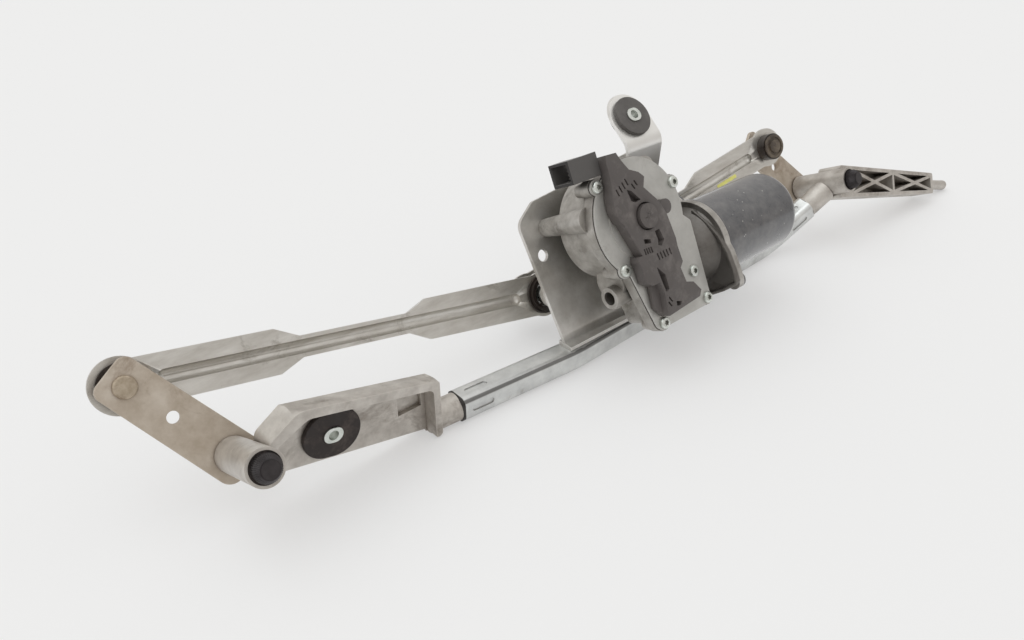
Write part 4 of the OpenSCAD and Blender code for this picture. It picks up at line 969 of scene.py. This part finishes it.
class LINKAGE_OT_star_screws(bpy.types.Operator):
    """Makes the star-recess screws of the gear cover and the can"""

    bl_idname = "linkage.star_screws"
    bl_label = "Star screws"

    def execute(self, context):
        along_motor = Matrix.Rotation(math.pi / 2, 4, "Y")
        cover = [OUTPUT @ Matrix.Translation((x * MM, y * MM, COVER_TOP * MM)) for x, y in COVER_SCREWS]
        can = [MOTOR @ Matrix.Translation((CAN_FLANGE * MM, y * MM, z * MM)) @ along_motor
            for y, z in CAN_SCREWS]
        master = star_screw()
        for name, places in (("cover_screws", cover), ("can_screws", can)):
            copies = []
            for place in places:
                copy = master.copy()
                copy.data = master.data.copy()
                bpy.context.scene.collection.objects.link(copy)
                copies.append(settle(copy, place))
            activate(copies[0])
            for copy in copies:
                copy.select_set(True)
            bpy.ops.object.join()
            keep(copies[0], "star_" + name, "bright_zinc", "frame", [name])
        bpy.data.objects.remove(master)
        return {"FINISHED"}


class LINKAGE_OT_stage(bpy.types.Operator):
    """Sets the floor, the light and the camera"""

    bl_idname = "linkage.stage"
    bl_label = "Stage"

    def execute(self, context):
        scene = context.scene
        deselect()
        low = min(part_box(n)[0].z for n in NODES)
        bpy.ops.mesh.primitive_plane_add(size=FLOOR_SIZE, location=(*FLOOR_PLACE, low))
        floor = context.object
        floor.name = "studio_floor"
        bpy.ops.object.transform_apply(location=True)
        # Pale matt paper, which shows part of its plain colour to the camera and in reflections
        material, tree, shader, _ = new_material("pale_paper")
        shader.inputs["Base Color"].default_value = linear(colours().floor)
        shader.inputs["Roughness"].default_value = 0.9
        shader.inputs["Specular IOR Level"].default_value = 0.1
        rays = add(tree, "ShaderNodeLightPath")
        seen = rays.outputs["Is Camera Ray"]
        for kind in ("Is Glossy Ray", "Is Transmission Ray"):
            seen = add(tree, "ShaderNodeMath", {0: seen, 1: rays.outputs[kind]},
                operation="MAXIMUM").outputs[0]
        share = add(tree, "ShaderNodeMath", {0: seen, 1: FLOOR_FILL}, operation="MULTIPLY").outputs[0]
        fill = add(tree, "ShaderNodeEmission", {"Color": linear(colours().floor)})
        lit = add(tree, "ShaderNodeMixShader", {"Fac": share, 1: shader.outputs["BSDF"],
            2: fill.outputs["Emission"]})
        output = next(n for n in tree.nodes if n.type == "OUTPUT_MATERIAL")
        tree.links.new(lit.outputs["Shader"], output.inputs["Surface"])
        floor.data.materials.append(material)

        world = bpy.data.worlds.new("soft_studio")
        scene.world = world
        world.use_nodes = True
        tree = world.node_tree
        tree.nodes.clear()
        aim = add(tree, "ShaderNodeTexCoord").outputs["Generated"]
        height = add(tree, "ShaderNodeSeparateXYZ", {"Vector": aim}).outputs["Z"]
        sky = add(tree, "ShaderNodeValToRGB", {"Fac": height}, [(0.0, SKY_LOW), (1.0, SKY_HIGH)])
        glow = add(tree, "ShaderNodeBackground", {"Color": sky.outputs["Color"], "Strength": 1.0})
        add(tree, "ShaderNodeOutputWorld", {"Surface": glow.outputs["Background"]})

        bpy.ops.object.light_add(type="SUN", rotation=SUN_TURN)
        sun = context.object
        sun.data.energy = SUN_ENERGY
        sun.data.angle = SUN_SPREAD
        sun.data.color = SUN_COLOUR

        bpy.ops.object.camera_add(location=CAMERA_PLACE)
        camera = context.object
        camera.rotation_mode = "QUATERNION"
        camera.rotation_quaternion = Vector(CAMERA_AIM).to_track_quat("-Z", "Y")
        camera.rotation_mode = "XYZ"
        camera.rotation_euler.rotate_axis("Z", CAMERA_ROLL)
        camera.data.sensor_width = CAMERA_SENSOR
        camera.data.lens = CAMERA_LENS
        camera.data.clip_start = CAMERA_NEAR
        scene.camera = camera
        scene.view_settings.view_transform = "Standard"
        return {"FINISHED"}


class LINKAGE_PT_dressing(bpy.types.Panel):
    """Lists the steps that dress the linkage"""

    bl_label = "Linkage"
    bl_space_type = "VIEW_3D"
    bl_region_type = "UI"
    bl_category = "Linkage"

    def draw(self, context):
        for step in STEPS:
            self.layout.operator(step.bl_idname)
        for group in (context.scene.linkage_colours, context.scene.linkage_sizes):
            for key in group.bl_rna.properties.keys():
                if key not in ("rna_type", "name"):
                    self.layout.prop(group, key)


STEPS = (
    LINKAGE_OT_finishes,
    LINKAGE_OT_rounded_edges,
    LINKAGE_OT_spindle_knurls,
    LINKAGE_OT_rivet_heads,
    LINKAGE_OT_socket_caps,
    LINKAGE_OT_flange_web,
    LINKAGE_OT_control_cover,
    LINKAGE_OT_control_button,
    LINKAGE_OT_paint_dab,
    LINKAGE_OT_star_screws,
    LINKAGE_OT_stage,
)
CLASSES = (LinkageColours, LinkageSizes) + STEPS + (LINKAGE_PT_dressing,)


def register():
    for cls in CLASSES:
        bpy.utils.register_class(cls)
    bpy.types.Scene.linkage_colours = bpy.props.PointerProperty(type=LinkageColours)
    bpy.types.Scene.linkage_sizes = bpy.props.PointerProperty(type=LinkageSizes)


def unregister():
    del bpy.types.Scene.linkage_sizes
    del bpy.types.Scene.linkage_colours
    for cls in reversed(CLASSES):
        bpy.utils.unregister_class(cls)


def main():
    register()
    for step in STEPS:
        group, name = step.bl_idname.split(".")
        getattr(getattr(bpy.ops, group), name)()


if __name__ == "__main__":
    main()
